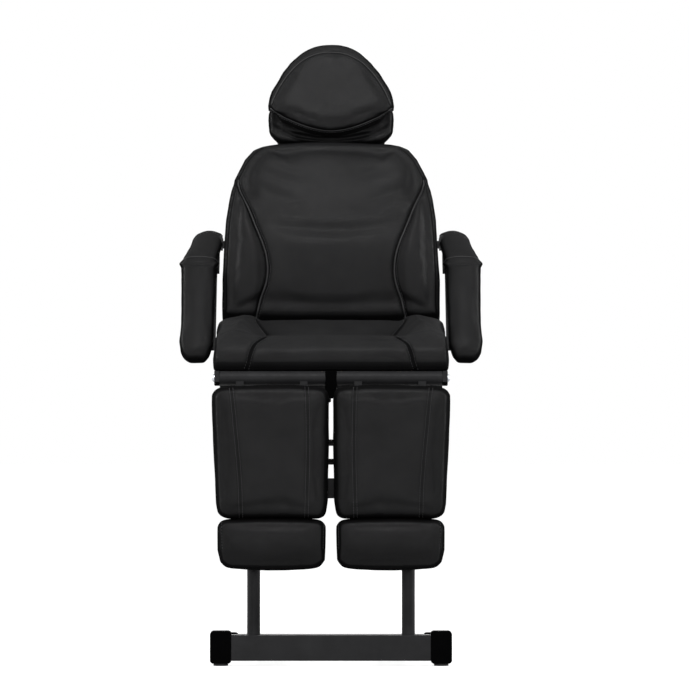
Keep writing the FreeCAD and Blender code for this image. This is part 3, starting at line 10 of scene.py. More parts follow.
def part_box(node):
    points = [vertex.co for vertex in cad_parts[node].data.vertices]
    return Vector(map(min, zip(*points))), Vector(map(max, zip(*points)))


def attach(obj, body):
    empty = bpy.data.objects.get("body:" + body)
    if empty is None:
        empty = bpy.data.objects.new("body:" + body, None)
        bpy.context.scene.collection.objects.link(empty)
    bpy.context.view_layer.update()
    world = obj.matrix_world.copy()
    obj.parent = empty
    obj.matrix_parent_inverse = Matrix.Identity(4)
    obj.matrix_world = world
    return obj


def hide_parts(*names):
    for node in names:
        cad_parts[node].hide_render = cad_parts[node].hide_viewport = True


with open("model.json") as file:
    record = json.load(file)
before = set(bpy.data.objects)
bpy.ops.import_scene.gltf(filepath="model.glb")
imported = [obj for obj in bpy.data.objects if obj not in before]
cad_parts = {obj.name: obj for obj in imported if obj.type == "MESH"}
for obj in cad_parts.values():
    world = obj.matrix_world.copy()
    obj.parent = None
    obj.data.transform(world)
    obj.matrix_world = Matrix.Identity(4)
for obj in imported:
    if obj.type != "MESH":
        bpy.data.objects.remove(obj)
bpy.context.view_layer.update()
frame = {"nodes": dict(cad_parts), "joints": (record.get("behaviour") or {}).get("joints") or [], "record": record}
SCENE = bpy.context.scene
JOINTS = {joint["name"]: joint for joint in frame["joints"]}

# Camera and photograph.
PHOTO = 689
AXIS_PX = 331.0  # The chair's middle line in the photograph.
CAMERA_AT = Vector((0, -9.4405, 0.6))
PITCH = math.radians(1.45)
LENS, SENSOR, SHIFT = 184.4, 36, 0.0196
FORWARD = Vector((0, math.cos(PITCH), math.sin(PITCH)))
UPWARD = Vector((0, -math.sin(PITCH), math.cos(PITCH)))

camera_data = bpy.data.cameras.new("camera")
camera_data.lens = LENS
camera_data.sensor_width = SENSOR
camera_data.shift_x = SHIFT
camera_data.clip_end = 200
camera = bpy.data.objects.new("camera", camera_data)
camera.location = CAMERA_AT
camera.rotation_euler = (math.pi / 2 + PITCH, 0, 0)
SCENE.collection.objects.link(camera)
SCENE.camera = camera
SCENE.view_settings.view_transform = "Standard"


def sight(px, py):
    """The direction in which the camera sees a place in the photograph."""
    across = ((px - PHOTO / 2) / PHOTO + SHIFT) * SENSOR / LENS
    up = (PHOTO / 2 - py) / PHOTO * SENSOR / LENS
    return (FORWARD + Vector((1, 0, 0)) * across + UPWARD * up).normalized()


# Materials.
def feed(tree, node, values):
    """Set a node's inputs, or link those for which another node's output is given."""
    for key, value in values.items():
        if isinstance(value, bpy.types.NodeSocket):
            tree.links.new(value, node.inputs[key])
        else:
            node.inputs[key].default_value = value


def added(tree, kind, output, values=None, **settings):
    """Add a node to a tree and give one of its outputs."""
    node = tree.nodes.new("ShaderNode" + kind)
    for key, value in settings.items():
        setattr(node, key, value)
    feed(tree, node, values or {})
    return node.outputs[output]


def larger(tree, first, second):
    return added(tree, "Math", 0, {0: first, 1: second}, operation="MAXIMUM")


def ranged(tree, value, low, high, out_low=0.0, out_high=1.0):
    return added(tree, "MapRange", "Result",
                 {"From Min": low, "From Max": high, "To Min": out_low, "To Max": out_high,
                  "Value": value})


class Finish:
    """A material in the making, patterned over the object's own coordinates."""

    def __init__(self, name):
        self.material = bpy.data.materials.new(name)
        self.material.use_nodes = True
        self.tree = self.material.node_tree
        self.place = added(self.tree, "TexCoord", "Object")

    def noise(self, scale, detail, rough=0.55, stretch=None):
        place = self.place
        if stretch:
            place = added(self.tree, "Mapping", "Vector", {"Scale": stretch, "Vector": place})
        return added(self.tree, "TexNoise", "Fac", {"Scale": scale, "Detail": detail,
                                                    "Roughness": rough, "Vector": place})

    def blended(self, factor, first, second):
        return added(self.tree, "Mix", "Result", {"A": first, "B": second, "Factor": factor},
                     data_type="RGBA")

    def patched(self, value, dark, light):
        """Two colours that a pattern spreads over the surface."""
        return self.blended(ranged(self.tree, value, 0.3, 0.7), (*dark, 1), (*light, 1))

    def bumped(self, height, distance, strength=1.0, before=None):
        values = {"Strength": strength, "Distance": distance, "Height": height}
        if before:
            values["Normal"] = before
        return added(self.tree, "Bump", "Normal", values)

    def done(self, colour, rough, normal, **other):
        """Link the shader's inputs and give the material."""
        feed(self.tree, self.tree.nodes["Principled BSDF"],
             {"Base Color": colour, "Roughness": rough, "Normal": normal,
              **{key.replace("_", " "): value for key, value in other.items()}})
        return self.material


def leather(name, dark, light, rough_low, rough_high, crease=0.0012, grain=0.00022,
            specular=0.052):
    """Smooth leatherette: pebbled grain, faint creases, patches of sheen.

    Side walls and seam creases are painted darker than the front of each cover: painted shade, held in a point
    attribute."""
    finish = Finish(name)
    tree = finish.tree
    worn = finish.patched(finish.noise(9, 5), dark, light)
    # A point attribute holds the painted shade of side walls and seam creases.
    painted_shade = added(tree, "Attribute", "Fac", attribute_name="painted_shade")
    # Half the leather's tone: the colour of the painted shade.
    painted_shade_colour = (*(channel * 0.5 for channel in dark), 1)
    facing = added(tree, "LayerWeight", "Facing", {"Blend": 0.35})
    sheen = larger(tree, ranged(tree, finish.noise(26, 6, 0.6), 0.25, 0.75, rough_low, rough_high),
                   ranged(tree, facing, 0.2, 0.6, 0.3, 1.0))
    pebble = added(tree, "TexVoronoi", "Distance", {"Scale": 620, "Vector": finish.place},
                   feature="DISTANCE_TO_EDGE")
    normal = finish.bumped(finish.noise(1.0, 3, 0.5, (7, 7, 16)), crease)
    normal = finish.bumped(ranged(tree, pebble, 0.0, 0.22), grain, 0.7, normal)
    return finish.done(finish.blended(painted_shade, worn, painted_shade_colour),
                       larger(tree, sheen, ranged(tree, painted_shade, 0.1, 0.7, 0.3, 1.0)),
                       normal, Specular_IOR_Level=specular)


def metal_paint(name, dark, light, rough_low, rough_high):
    """Powder coat: orange peel, worn patches a little glossier."""
    finish = Finish(name)
    return finish.done(finish.patched(finish.noise(14, 6), dark, light),
                       ranged(finish.tree, finish.noise(60, 4), 0.3, 0.7, rough_low, rough_high),
                       finish.bumped(finish.noise(900, 2), 0.00012, 0.6), Specular_IOR_Level=0.05)


def moulded(name, dark, light, rough_low, rough_high, specular=0.35):
    """Moulded plastic or rubber with a fine spark-eroded texture."""
    finish = Finish(name)
    return finish.done(finish.blended(finish.noise(30, 5), (*dark, 1), (*light, 1)),
                       ranged(finish.tree, finish.noise(45, 4), 0.3, 0.7, rough_low, rough_high),
                       finish.bumped(finish.noise(1500, 2), 0.0001, 0.8),
                       Specular_IOR_Level=specular)


def bright_steel(name, colour, rough_low, rough_high, along):
    """Zinc-plated or brushed bar with fine lines along one axis."""
    finish = Finish(name)
    lines = finish.noise(1.0, 5, stretch=along)
    return finish.done(finish.patched(lines, [channel * 0.72 for channel in colour], colour),
                       ranged(finish.tree, lines, 0.2, 0.8, rough_low, rough_high),
                       finish.bumped(lines, 0.00008, 0.5), Metallic=1)


def plywood(name):
    """Birch plywood: long soft grain."""
    finish = Finish(name)
    flow = finish.noise(2.0, 6, 0.6, (3, 22, 22))
    return finish.done(finish.patched(flow, (0.42, 0.29, 0.17), (0.62, 0.47, 0.3)),
                       ranged(finish.tree, flow, 0.3, 0.7, 0.55, 0.75),
                       finish.bumped(flow, 0.0004, 0.6))


LEATHER_TONES = ((0.0059, 0.0059, 0.0061), (0.0089, 0.0089, 0.0092), 0.22, 0.31)
LEATHER = leather("leatherette", *LEATHER_TONES)
# Copies with less specular, for the faces that get the most painted shade.
LEATHER_TURNED = leather("turned_leatherette", *LEATHER_TONES, specular=0.014)
LEATHER_WALL = leather("wall_leatherette", *LEATHER_TONES, specular=0.008)
# The piping is paler than the leather around it: painted highlight along the cords.
PIPING = leather("piping_leatherette", (0.016, 0.016, 0.0165), (0.024, 0.024, 0.0245), 0.3, 0.42,
                 0.0003, 0.00012, 0.12)
SHADE = leather("hem_leatherette", (0.005, 0.005, 0.0053), (0.008, 0.008, 0.0084), 0.6, 0.75,
                0.002, 0.0003, 0.05)
PAINT = metal_paint("powder_coat", (0.012, 0.012, 0.0126), (0.0175, 0.0175, 0.0184), 0.42, 0.55)
PLASTIC = moulded("cap_plastic", (0.0007, 0.0007, 0.0008), (0.0014, 0.0014, 0.0015), 0.7, 0.85,
                  0.006)
CASE = moulded("case_plastic", (0.02, 0.02, 0.022), (0.03, 0.03, 0.032), 0.45, 0.6)
RUBBER = moulded("foot_rubber", (0.012, 0.012, 0.012), (0.02, 0.02, 0.02), 0.7, 0.85, 0.2)
ZINC = bright_steel("zinc_plate", (0.56, 0.57, 0.6), 0.25, 0.42, (14, 260, 260))
ALUMINIUM = bright_steel("drawn_aluminium", (0.6, 0.6, 0.62), 0.3, 0.45, (260, 14, 260))
PLY = plywood("birch_plywood")
THREAD = moulded("grey_thread", (0.035, 0.035, 0.036), (0.06, 0.06, 0.062), 0.6, 0.8, 0.1)

SLOT_MATERIALS = {"black_leatherette": LEATHER, "black_powder_coat": PAINT,
                  "black_plastic": PLASTIC, "black_rubber": RUBBER, "zinc_steel": ZINC,
                  "drive_aluminium": ALUMINIUM, "motor_black": CASE, "birch_ply": PLY}
for part in frame["record"]["subparts"]:
    shown = frame["nodes"][part["node"]]
    paint = SLOT_MATERIALS[part["material_slot"]]
    if part["node"] in ("control_box", "power_sockets"):
        paint = CASE
    if not shown.material_slots:
        shown.data.materials.append(paint)
    for place in shown.material_slots:
        place.material = paint


# Making objects.
def add_object(name, mesh, material=None):
    thing = bpy.data.objects.new(name, mesh)
    SCENE.collection.objects.link(thing)
    if material:
        mesh.materials.clear()
        mesh.materials.append(material)
    return thing


def smooth_shade(mesh):
    mesh.polygons.foreach_set("use_smooth", [True] * len(mesh.polygons))
    mesh.update()


def built(name, form, material=None, smooth=True):
    """Turn a bmesh into an object of the scene."""
    mesh = bpy.data.meshes.new(name)
    form.to_mesh(mesh)
    form.free()
    if smooth:
        smooth_shade(mesh)
    return add_object(name, mesh, material)


def ring_of(form, centre, radius, side, other, sides):
    """Vertices on a circle that the directions side and other span."""
    turns = [2 * math.pi * turn / sides for turn in range(sides)]
    return [form.verts.new(centre + radius * (math.cos(turn) * side + math.sin(turn) * other))
            for turn in turns]


def bridged(form, rings, around=False):
    """Faces from each ring to the next; around joins the last ring to the first.

    Where a ring is one vertex, its faces have three corners."""
    for first, second in zip(rings, rings[1:] + rings[:1] if around else rings[1:]):
        for turn in range(len(first)):
            nxt = (turn + 1) % len(first)
            corners = (first[turn], first[nxt], second[nxt], second[turn])
            form.faces.new(list(dict.fromkeys(corners)))


def turned_outward(form):
    bmesh.ops.recalc_face_normals(form, faces=form.faces)


# Stage and light.
def seen_itself(tree):
    """1 for the rays that show a thing to the camera, straight, in a gloss or through glass."""
    path = tree.nodes.new("ShaderNodeLightPath").outputs
    return larger(tree, larger(tree, path["Is Camera Ray"], path["Is Glossy Ray"]),
                  path["Is Transmission Ray"])


def emptied(owner):
    owner.use_nodes = True
    owner.node_tree.nodes.clear()
    return owner.node_tree


def stage_material():
    """A white floor: it keeps the object's shadow, and what the camera sees is lifted to white.

    The lift grows with the distance from the chair, so that the horizon doesn't show."""
    material = bpy.data.materials.new("white_floor")
    tree = emptied(material)
    diffuse = added(tree, "BsdfDiffuse", 0, {"Color": (0.3, 0.3, 0.3, 1)})
    distance = added(tree, "VectorMath", "Value", {0: added(tree, "TexCoord", "Object")},
                     operation="LENGTH")
    strength = added(tree, "Math", 0, {0: seen_itself(tree),
                                       1: ranged(tree, distance, 0.9, 3.5, 0.8, 1.0)},
                     operation="MULTIPLY")
    glow = added(tree, "Emission", 0, {"Strength": strength})
    total = added(tree, "AddShader", 0, {0: diffuse, 1: glow})
    feed(tree, tree.nodes.new("ShaderNodeOutputMaterial"), {"Surface": total})
    return material


def make_stage():
    form = bmesh.new()
    bmesh.ops.create_circle(form, cap_ends=True, segments=96, radius=60)
    floor = built("floor", form, stage_material(), smooth=False)
    floor.location = (0, 0, -0.0005)

    world = bpy.data.worlds.new("white_world")
    SCENE.world = world
    tree = emptied(world)
    lit = added(tree, "Background", 0, {"Color": (0.95, 0.97, 1, 1), "Strength": WORLD_LIGHT})
    seen = added(tree, "Background", 0, {"Color": (1, 1, 1, 1), "Strength": 1})
    both = added(tree, "MixShader", 0, {0: seen_itself(tree), 1: lit, 2: seen})
    feed(tree, tree.nodes.new("ShaderNodeOutputWorld"), {"Surface": both})


def lamp(name, place, target, size_x, size_y, power):
    data = bpy.data.lights.new(name, "AREA")
    data.shape = "RECTANGLE"
    data.size, data.size_y = size_x, size_y
    data.energy = power
    lamp_object = bpy.data.objects.new(name, data)
    lamp_object.location = place
    aim = Vector(target) - Vector(place)
    lamp_object.rotation_euler = aim.to_track_quat("-Z", "Y").to_euler()
    SCENE.collection.objects.link(lamp_object)


WORLD_LIGHT = 0.06
make_stage()
lamp("front_light", (0, -4.7, 6.2), (0, 0, 1.0), 0.9, 0.9, 455)
lamp("low_light", (0, -8.6, 1.1), (0, 0, 0.5), 1.6, 0.6, 190)
lamp("top_light", (0, -0.8, 4.4), (0, 0, 0.9), 2.2, 1.6, 25)
lamp("rear_light", (0, 5.2, 3.4), (0, 0, 0.8), 2.4, 1.6, 190)
for side, name in ((-1, "left_light"), (1, "right_light")):
    lamp(name, (side * 4.8, 0.9, 2.4), (0, 0, 0.8), 1.2, 1.6, 320)
    lamp(name + "_narrow", (side * 3.4, -5.2, 0.9), (0, 0, 0.5), 0.25, 1.8, 45)


# Meshes as arrays.
def points_of(mesh):
    spots = np.zeros(len(mesh.vertices) * 3, np.float64)
    mesh.vertices.foreach_get("co", spots)
    return spots.reshape(-1, 3)


def normals_of(mesh):
    ways = np.zeros(len(mesh.vertices) * 3, np.float32)
    mesh.vertex_normals.foreach_get("vector", ways)
    return ways.reshape(-1, 3).astype(np.float64)


def put_points(mesh, spots):
    mesh.vertices.foreach_set("co", spots.astype(np.float32).ravel())
    mesh.update()


def evaluated(thing):
    """The mesh that the object's modifiers give now."""
    graph = bpy.context.evaluated_depsgraph_get()
    return bpy.data.meshes.new_from_object(thing.evaluated_get(graph))


def with_modifier(thing, kind, **settings):
    """Apply one modifier to the object's mesh."""
    modifier = thing.modifiers.new("step", kind)
    for key, value in settings.items():
        setattr(modifier, key, value)
    made = evaluated(thing)
    thing.modifiers.clear()
    old = thing.data
    thing.data = made
    bpy.data.meshes.remove(old)


def even_copy(name, nodes, side, voxel, close=0.0):
    """CAD cushions as one closed mesh of even faces; side keeps one of a mirrored pair.

    Cushions that share a cover grow by close before they join and shrink after it."""
    form = bmesh.new()
    for node in nodes:
        form.from_mesh(frame["nodes"][node].data)
    bmesh.ops.remove_doubles(form, verts=form.verts, dist=1e-5)
    if side:
        away = [vert for vert in form.verts if vert.co.x * side < 0]
        bmesh.ops.delete(form, geom=away, context="VERTS")
    thing = built(name, form, LEATHER, smooth=False)
    if close:
        with_modifier(thing, "REMESH", mode="VOXEL", voxel_size=voxel * 0.5, adaptivity=0)
        with_modifier(thing, "SMOOTH", factor=0.5, iterations=3)
        put_points(thing.data, points_of(thing.data) + normals_of(thing.data) * close)
    with_modifier(thing, "REMESH", mode="VOXEL", voxel_size=voxel, adaptivity=0)
    with_modifier(thing, "SMOOTH", factor=0.5, iterations=10 if close else 4)
    if close:
        put_points(thing.data, points_of(thing.data) - normals_of(thing.data) * close)
        with_modifier(thing, "SMOOTH", factor=0.5, iterations=3)
    thing.data.materials.clear()
    thing.data.materials.append(LEATHER)
    return thing


CLOTH = {"quality": 5, "mass": 0.25, "tension_stiffness": 12, "compression_stiffness": 12,
         "shear_stiffness": 6, "bending_stiffness": 0.6, "use_pressure": True}
CLOTH_FRAMES = 20
HELD_FACING = 0.75  # Points that face the board at least this much are held.


def swell(pads):
    """Inflate all the pads together as cloth and keep each point within its own reach."""
    starts = {}
    for pad in pads:
        mesh = pad["thing"].data
        spots, ways = points_of(mesh), normals_of(mesh)
        back = np.array(pad["back"])
        held = ways @ back > HELD_FACING
        pad["ways"] = ways
        spots[~held] -= ways[~held] * pad["tuck"]
        put_points(mesh, spots)
        starts[pad["name"]] = spots
        group = pad["thing"].vertex_groups.new(name="held")
        group.add([int(index) for index in np.nonzero(held)[0]], 1.0, "REPLACE")
        cloth = pad["thing"].modifiers.new("cloth", "CLOTH").settings
        for key, value in CLOTH.items():
            setattr(cloth, key, value)
        cloth.uniform_pressure_force = pad["pressure"]
        cloth.effector_weights.gravity = 0
        cloth.vertex_group_mass = "held"
    for step in range(CLOTH_FRAMES):
        SCENE.frame_set(step + 1)
    graph = bpy.context.evaluated_depsgraph_get()
    for pad in pads:
        thing, start, ways = pad["thing"], starts[pad["name"]], pad["ways"]
        front = np.clip(-(ways @ np.array(pad["back"])), 0, 1) ** 2
        side = pad.get("side", 0)
        reach = pad["tuck"] + side + (pad["rise"] - side) * front
        made = thing.evaluated_get(graph).to_mesh()
        moved = points_of(made) - start
        thing.evaluated_get(graph).to_mesh_clear()
        inward = np.minimum((moved * ways).sum(axis=1), 0)
        moved -= ways * inward[:, None]
        far = np.linalg.norm(moved, axis=1)
        scale = np.minimum(1, reach / np.maximum(far, 1e-9))
        thing.modifiers.clear()
        thing.vertex_groups.clear()
        put_points(thing.data, start + moved * scale[:, None])
    SCENE.frame_set(1)
    for pad in pads:
        with_modifier(pad["thing"], "SMOOTH", factor=0.5, iterations=pad.get("even", 3))
        with_modifier(pad["thing"], "SUBSURF", levels=1, render_levels=1)
        smooth_shade(pad["thing"].data)


def mirrored(name, thing):
    """The same form on the other side of the chair."""
    mesh = thing.data.copy()
    spots = points_of(mesh)
    spots[:, 0] *= -1
    put_points(mesh, spots)
    mesh.flip_normals()
    return add_object(name, mesh)


def surface(thing):
    return BVHTree.FromObject(thing, bpy.context.evaluated_depsgraph_get())


def curve_through(knots):
    """A smooth line through given knots, with six steps from each to the next."""
    knots = np.array(knots, float)
    padded = np.vstack([2 * knots[0] - knots[1], knots, 2 * knots[-1] - knots[-2]])
    line = []
    for index in range(len(knots) - 1):
        before, start, end, after = padded[index:index + 4]
        for share in np.arange(6) / 6:
            line.append(0.5 * (2 * start + (end - before) * share
                               + (2 * before - 5 * start + 4 * end - after) * share ** 2
                               + (3 * start - before - 3 * end + after) * share ** 3))
    line.append(knots[-1])
    return np.array(line)


def seen_line(thing, pixels, flip):
    """Points and normals where the camera sees a line of the photograph on the piece."""
    tree = surface(thing)
    found = []
    for px, py in curve_through(pixels):
        spot, normal, _, _ = tree.ray_cast(CAMERA_AT, sight(2 * AXIS_PX - px if flip else px, py))
        if spot is not None:
            found.append((spot, normal))
    return found


def line_arrays(line):
    """The points and the normals of a line, each as an array."""
    return (np.array([tuple(part) for part in parts]) for parts in zip(*line))


def unit(ways):
    """Directions in rows brought to length 1."""
    return ways / np.maximum(np.linalg.norm(ways, axis=1), 1e-12)[:, None]


def run_along(spots):
    """The length of a line up to each of its points."""
    return np.concatenate([[0], np.cumsum(np.linalg.norm(np.diff(spots, axis=0), axis=1))])


def settled(line, passes=3):
    """Even out small steps along a line of points and normals."""
    spots, ways = line_arrays(line)
    for _ in range(passes):
        spots[1:-1] = (spots[:-2] + 2 * spots[1:-1] + spots[2:]) / 4
        ways[1:-1] = (ways[:-2] + 2 * ways[1:-1] + ways[2:]) / 4
    return [(Vector(spot), Vector(way)) for spot, way in zip(spots, unit(ways))]


def resampled(line, gap):
    """Points and normals at an even spacing along the line."""
    spots, ways = line_arrays(line)
    along = run_along(spots)
    places = np.linspace(0, along[-1], max(2, int(round(along[-1] / gap)) + 1))
    spots, ways = (np.stack([np.interp(places, along, column) for column in part.T], 1)
                   for part in (spots, ways))
    return spots, unit(ways)


def mark_painted_shade(mesh, where, level):
    """Raise the painted shade at some points and give its levels at all points."""
    mark = mesh.attributes.get("painted_shade") or mesh.attributes.new("painted_shade", "FLOAT", "POINT")
    values = np.zeros(len(mesh.vertices), np.float32)
    mark.data.foreach_get("value", values)
    values[where] = np.maximum(values[where], level)
    mark.data.foreach_set("value", values)
    return values


def press(thing, line, depth, width, taper=False):
    """Draw the surface in along a line: a seam also gets painted shade in its crease, a fold tapers to its ends.
    """
    spots, _ = resampled(line, 0.003)
    fade = np.ones(len(spots))
    if taper:
        fade = np.sin(np.linspace(0.05, math.pi - 0.05, len(spots)))
    mesh = thing.data
    here, ways = points_of(mesh), normals_of(mesh)
    low, high = spots.min(0) - 3 * width, spots.max(0) + 3 * width
    near = np.nonzero(((here > low) & (here < high)).all(axis=1))[0]
    if not len(near):
        return
    drop = np.zeros(len(near))
    batch = 40
    for start in range(0, len(spots), batch):
        away = here[near][:, None, :] - spots[None, start:start + batch, :]
        pull = np.exp(-(away ** 2).sum(2) / width ** 2) * fade[start:start + batch]
        drop = np.maximum(drop, pull.max(1))
    here[near] -= ways[near] * (depth * drop)[:, None]
    put_points(mesh, here)
    if not taper:
        # Painted shade in the seam's crease, stronger for a deeper seam.
        mark_painted_shade(mesh, near, 0.8 * min(1, depth / 0.006) * drop ** 0.7)


def rumple(thing, height, scale, seed):
    """Slow unevenness of a stuffed cover: a few soft folds along the normals."""
    mesh = thing.data
    here, ways = points_of(mesh), normals_of(mesh)
    offset = Vector((seed * 3.7, seed * 1.3, seed * 2.1))
    lift = np.array([noise.fractal(Vector((x * scale[0], y * scale[1], z * scale[2])) + offset,
                                   0.8, 2.0, 3) for x, y, z in here])
    put_points(mesh, here + ways * (lift * height)[:, None])


def tube(name, spots, radius, material, sides=8, closed=False):
    """A round cord along points, with closed ends."""
    spots = np.array([tuple(spot) for spot in spots], float)
    if closed:
        after, before = np.roll(spots, -1, 0), np.roll(spots, 1, 0)
    else:
        after = np.vstack([spots[1:], 2 * spots[-1:] - spots[-2:-1]])
        before = np.vstack([2 * spots[:1] - spots[1:2], spots[:-1]])
    ways = unit(after - before)
    side = np.cross(ways[0], (0.31, 0.17, 0.93))
    side /= np.linalg.norm(side)
    form = bmesh.new()
    rings = []
    for spot, way in zip(spots, ways):
        side = side - way * (side @ way)
        side /= np.linalg.norm(side)
        rings.append(ring_of(form, spot, radius, side, np.cross(way, side), sides))
    bridged(form, rings, closed)
    if not closed:
        form.faces.new(rings[0][::-1])
        form.faces.new(rings[-1])
    turned_outward(form)
    return built(name, form, material)


def stitch_row(name, line, material, length=0.0052, gap=0.002, radius=0.0005, aside=0.0,
               tree=None):
    """Thread stitches along a line; aside moves the row along the surface of the tree."""
    spots, ways = resampled(line, length + gap)
    form = bmesh.new()
    for spot, way, along in zip(spots, ways, unit(np.gradient(spots, axis=0))):
        across = np.cross(way, along)
        across /= max(np.linalg.norm(across), 1e-9)
        base = Vector(spot + across * aside)
        hit = tree.ray_cast(base + Vector(way) * 0.015, -Vector(way), 0.03) if tree else (None,)
        if hit[0] is not None:
            base, way = hit[0], np.array(hit[1])
            along = along - way * (along @ way)
            along /= np.linalg.norm(along)
            across = np.cross(way, along)
        centre = np.array(base) + way * radius * 0.35
        rings = []
        for share, thick in ((-0.5, 0.35), (-0.38, 0.9), (0.38, 0.9), (0.5, 0.35)):
            sink = -radius * 0.8 if abs(share) == 0.5 else 0
            rings.append(ring_of(form, centre + along * length * share + way * sink,
                                 radius * thick, across, way, 6))
        bridged(form, rings)
        form.faces.new(rings[0][::-1])
        form.faces.new(rings[-1])
    turned_outward(form)
    return built(name, form, material)


# Cushions.
LEAN = math.radians(18)
BACK_AT = Vector(JOINTS["recline"]["pos_m"])
BACK_UP = Vector((0, math.sin(LEAN), math.cos(LEAN)))
BACK_AWAY = Vector((0, math.cos(LEAN), -math.sin(LEAN)))


def projected(spots):
    """The photograph's pixel place of each point."""
    away = spots - np.array(CAMERA_AT)
    deep = away @ np.array(FORWARD)
    px = (away[:, 0] / deep * LENS / SENSOR - SHIFT) * PHOTO + PHOTO / 2
    py = PHOTO / 2 - away @ np.array(UPWARD) / deep * LENS / SENSOR * PHOTO
    return px, py


def row_means(high):
    """Row values evened out, with the last sound value kept at both ends."""
    high[:3], high[-3:] = high[3], high[-4]
    return np.convolve(np.pad(high, 2, "edge"), np.array([1, 2, 3, 2, 1]) / 9, "valid")


def fit_sides(thing, outer, inner=None, sign=0, most=0.16):
    """Move the sides in or out, row by row, to the half widths that the photograph shows.

    A pad on one side of the chair has a sign and an inner outline too; most limits the change
    of a piece that crosses the middle."""
    here = points_of(thing.data)
    px, py = projected(here)
    off = (px - AXIS_PX) * (sign or 1)
    rows = np.arange(py.min() + 1, py.max(), 1.0)
    near = [np.abs(py - row) < 1.8 for row in rows]
    high = row_means(np.array([(off if sign else np.abs(off))[mask].max() for mask in near]))
    want = np.interp(rows, *np.array(outer, float).T)
    if inner is None:
        ratio = np.clip(want / np.maximum(high, 1), 1 - most, 1 + most)
        here[:, 0] *= np.interp(py, rows, ratio)
    else:
        low = row_means(np.array([off[mask].min() for mask in near]))
        want_low = np.interp(rows, *np.array(inner, float).T)
        high, low, want, want_low = (np.interp(py, rows, part)
                                     for part in (high, low, want, want_low))
        share = (off - low) / np.maximum(high - low, 1)
        new = want_low + share * (want - want_low)
        here[:, 0] *= np.clip(new / np.maximum(off, 0.5), 0.4, 1.8)
    put_points(thing.data, here)


def smoothstep(value, low, high):
    share = np.clip((value - low) / (high - low), 0, 1)
    return share * share * (3 - 2 * share)


def full_height(thing, node, below=0.0, above=0.0):
    """Stretch a pad upright to its solid's own height after its tuck."""
    here = points_of(thing.data)
    low, high = (corner[2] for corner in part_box(node))
    share = (here[:, 2] - here[:, 2].min()) / np.ptp(here[:, 2])
    here[:, 2] = low - below + share * (high + above - low + below)
    put_points(thing.data, here)


DOWN, REAR = (0, 0, -1), (0, 1, 0)
ARM_REAR = (0, 0.77, -0.64)
PADS = [
    {"name": "seat_cover", "nodes": ("seat_cushion", "seat_bolsters"), "body": "seat",
     "back": DOWN, "voxel": 0.008, "close": 0.007, "rise": 0.004, "tuck": 0.004, "pressure": 3},
    {"name": "backrest_cover", "nodes": ("back_cushion", "back_bolsters"), "body": "backrest",
     "back": BACK_AWAY, "voxel": 0.0075, "close": 0.008, "rise": 0.008, "tuck": 0.004,
     "pressure": 4, "even": 5},
    {"name": "headrest_base", "nodes": ("headrest_base_cushion",), "body": "headrest",
     "back": BACK_AWAY, "voxel": 0.0065, "rise": 0.003, "side": 0.001, "tuck": 0.004,
     "pressure": 3},
    {"name": "headrest_pillow_cover", "nodes": ("headrest_pillow",), "body": "headrest",
     "back": BACK_AWAY, "voxel": 0.006, "rise": 0.004, "tuck": 0.003, "pressure": 3, "even": 10,
     "wall": (0.5, 0.985)},
    {"name": "calf_cushion_left", "nodes": ("calf_pad_left",), "body": "leg_rest_left",
     "back": REAR, "voxel": 0.0065, "rise": 0.005, "tuck": 0.003, "pressure": 4, "even": 8},
    {"name": "foot_cushion_left", "nodes": ("foot_pad_left",), "body": "foot_rest_left",
     "back": REAR, "voxel": 0.006, "rise": 0.005, "tuck": 0.003, "pressure": 4},
    {"name": "armrest_cushion_left", "nodes": ("armrest_pad_left",), "body": "armrest_left",
     "back": ARM_REAR, "voxel": 0.0055, "rise": 0.003, "tuck": 0.003, "pressure": 3},
]

for pad in PADS:
    pad["thing"] = even_copy(pad["name"], pad["nodes"], -1 if "_left" in pad["name"] else 0,
                             pad["voxel"], pad.get("close", 0))
swell(PADS)
FORMS = {pad["name"]: pad["thing"] for pad in PADS}
full_height(FORMS["calf_cushion_left"], "calf_pad_left", 0.0004, 0.003)
full_height(FORMS["foot_cushion_left"], "foot_pad_left", 0, 0.0003)
full_height(FORMS["armrest_cushion_left"], "armrest_pad_left", -0.010, 0.010)

# Lengths in metres, for the shapes that the covers take over their solids.
FOOT_ROLL = 0.02
SEAT_RISE = 0.075  # As a share of the height above the board.
BACK_TOP = 0.6165  # Heights along the backrest's lean, from its pivot.
LUMBAR_BULGE, LUMBAR_AT, LUMBAR_SPREAD = 0.012, 0.315, 0.1
WAIST_HOLLOW, WAIST_AT, WAIST_SPREAD = 0.018, 0.1, 0.085
TOP_ROLL = 0.006
BACK_THICKNESS, BACK_HALF = 0.09, 0.27


def roll_foot_pad(mesh):
    """The foot pad's front rolls back towards its lower edge."""
    here = points_of(mesh)
    low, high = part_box("foot_pad_left")
    fall = ((low[2] + high[2]) / 2 + 0.01 - here[:, 2]) / ((high[2] - low[2]) / 2)
    ahead = np.clip((high[1] - here[:, 1]) / (high[1] - low[1]), 0, 1)
    here[:, 1] += FOOT_ROLL * np.clip(fall, 0, 1) ** 2 * ahead
    put_points(mesh, here)


def raise_seat_rear(mesh):
    """The seat's crest rises to the backrest."""
    here = points_of(mesh)
    above = np.maximum(here[:, 2] - SEAT_BASE, 0)
    here[:, 2] += above * SEAT_RISE * smoothstep(here[:, 1], -0.16, 0.04)
    put_points(mesh, here)


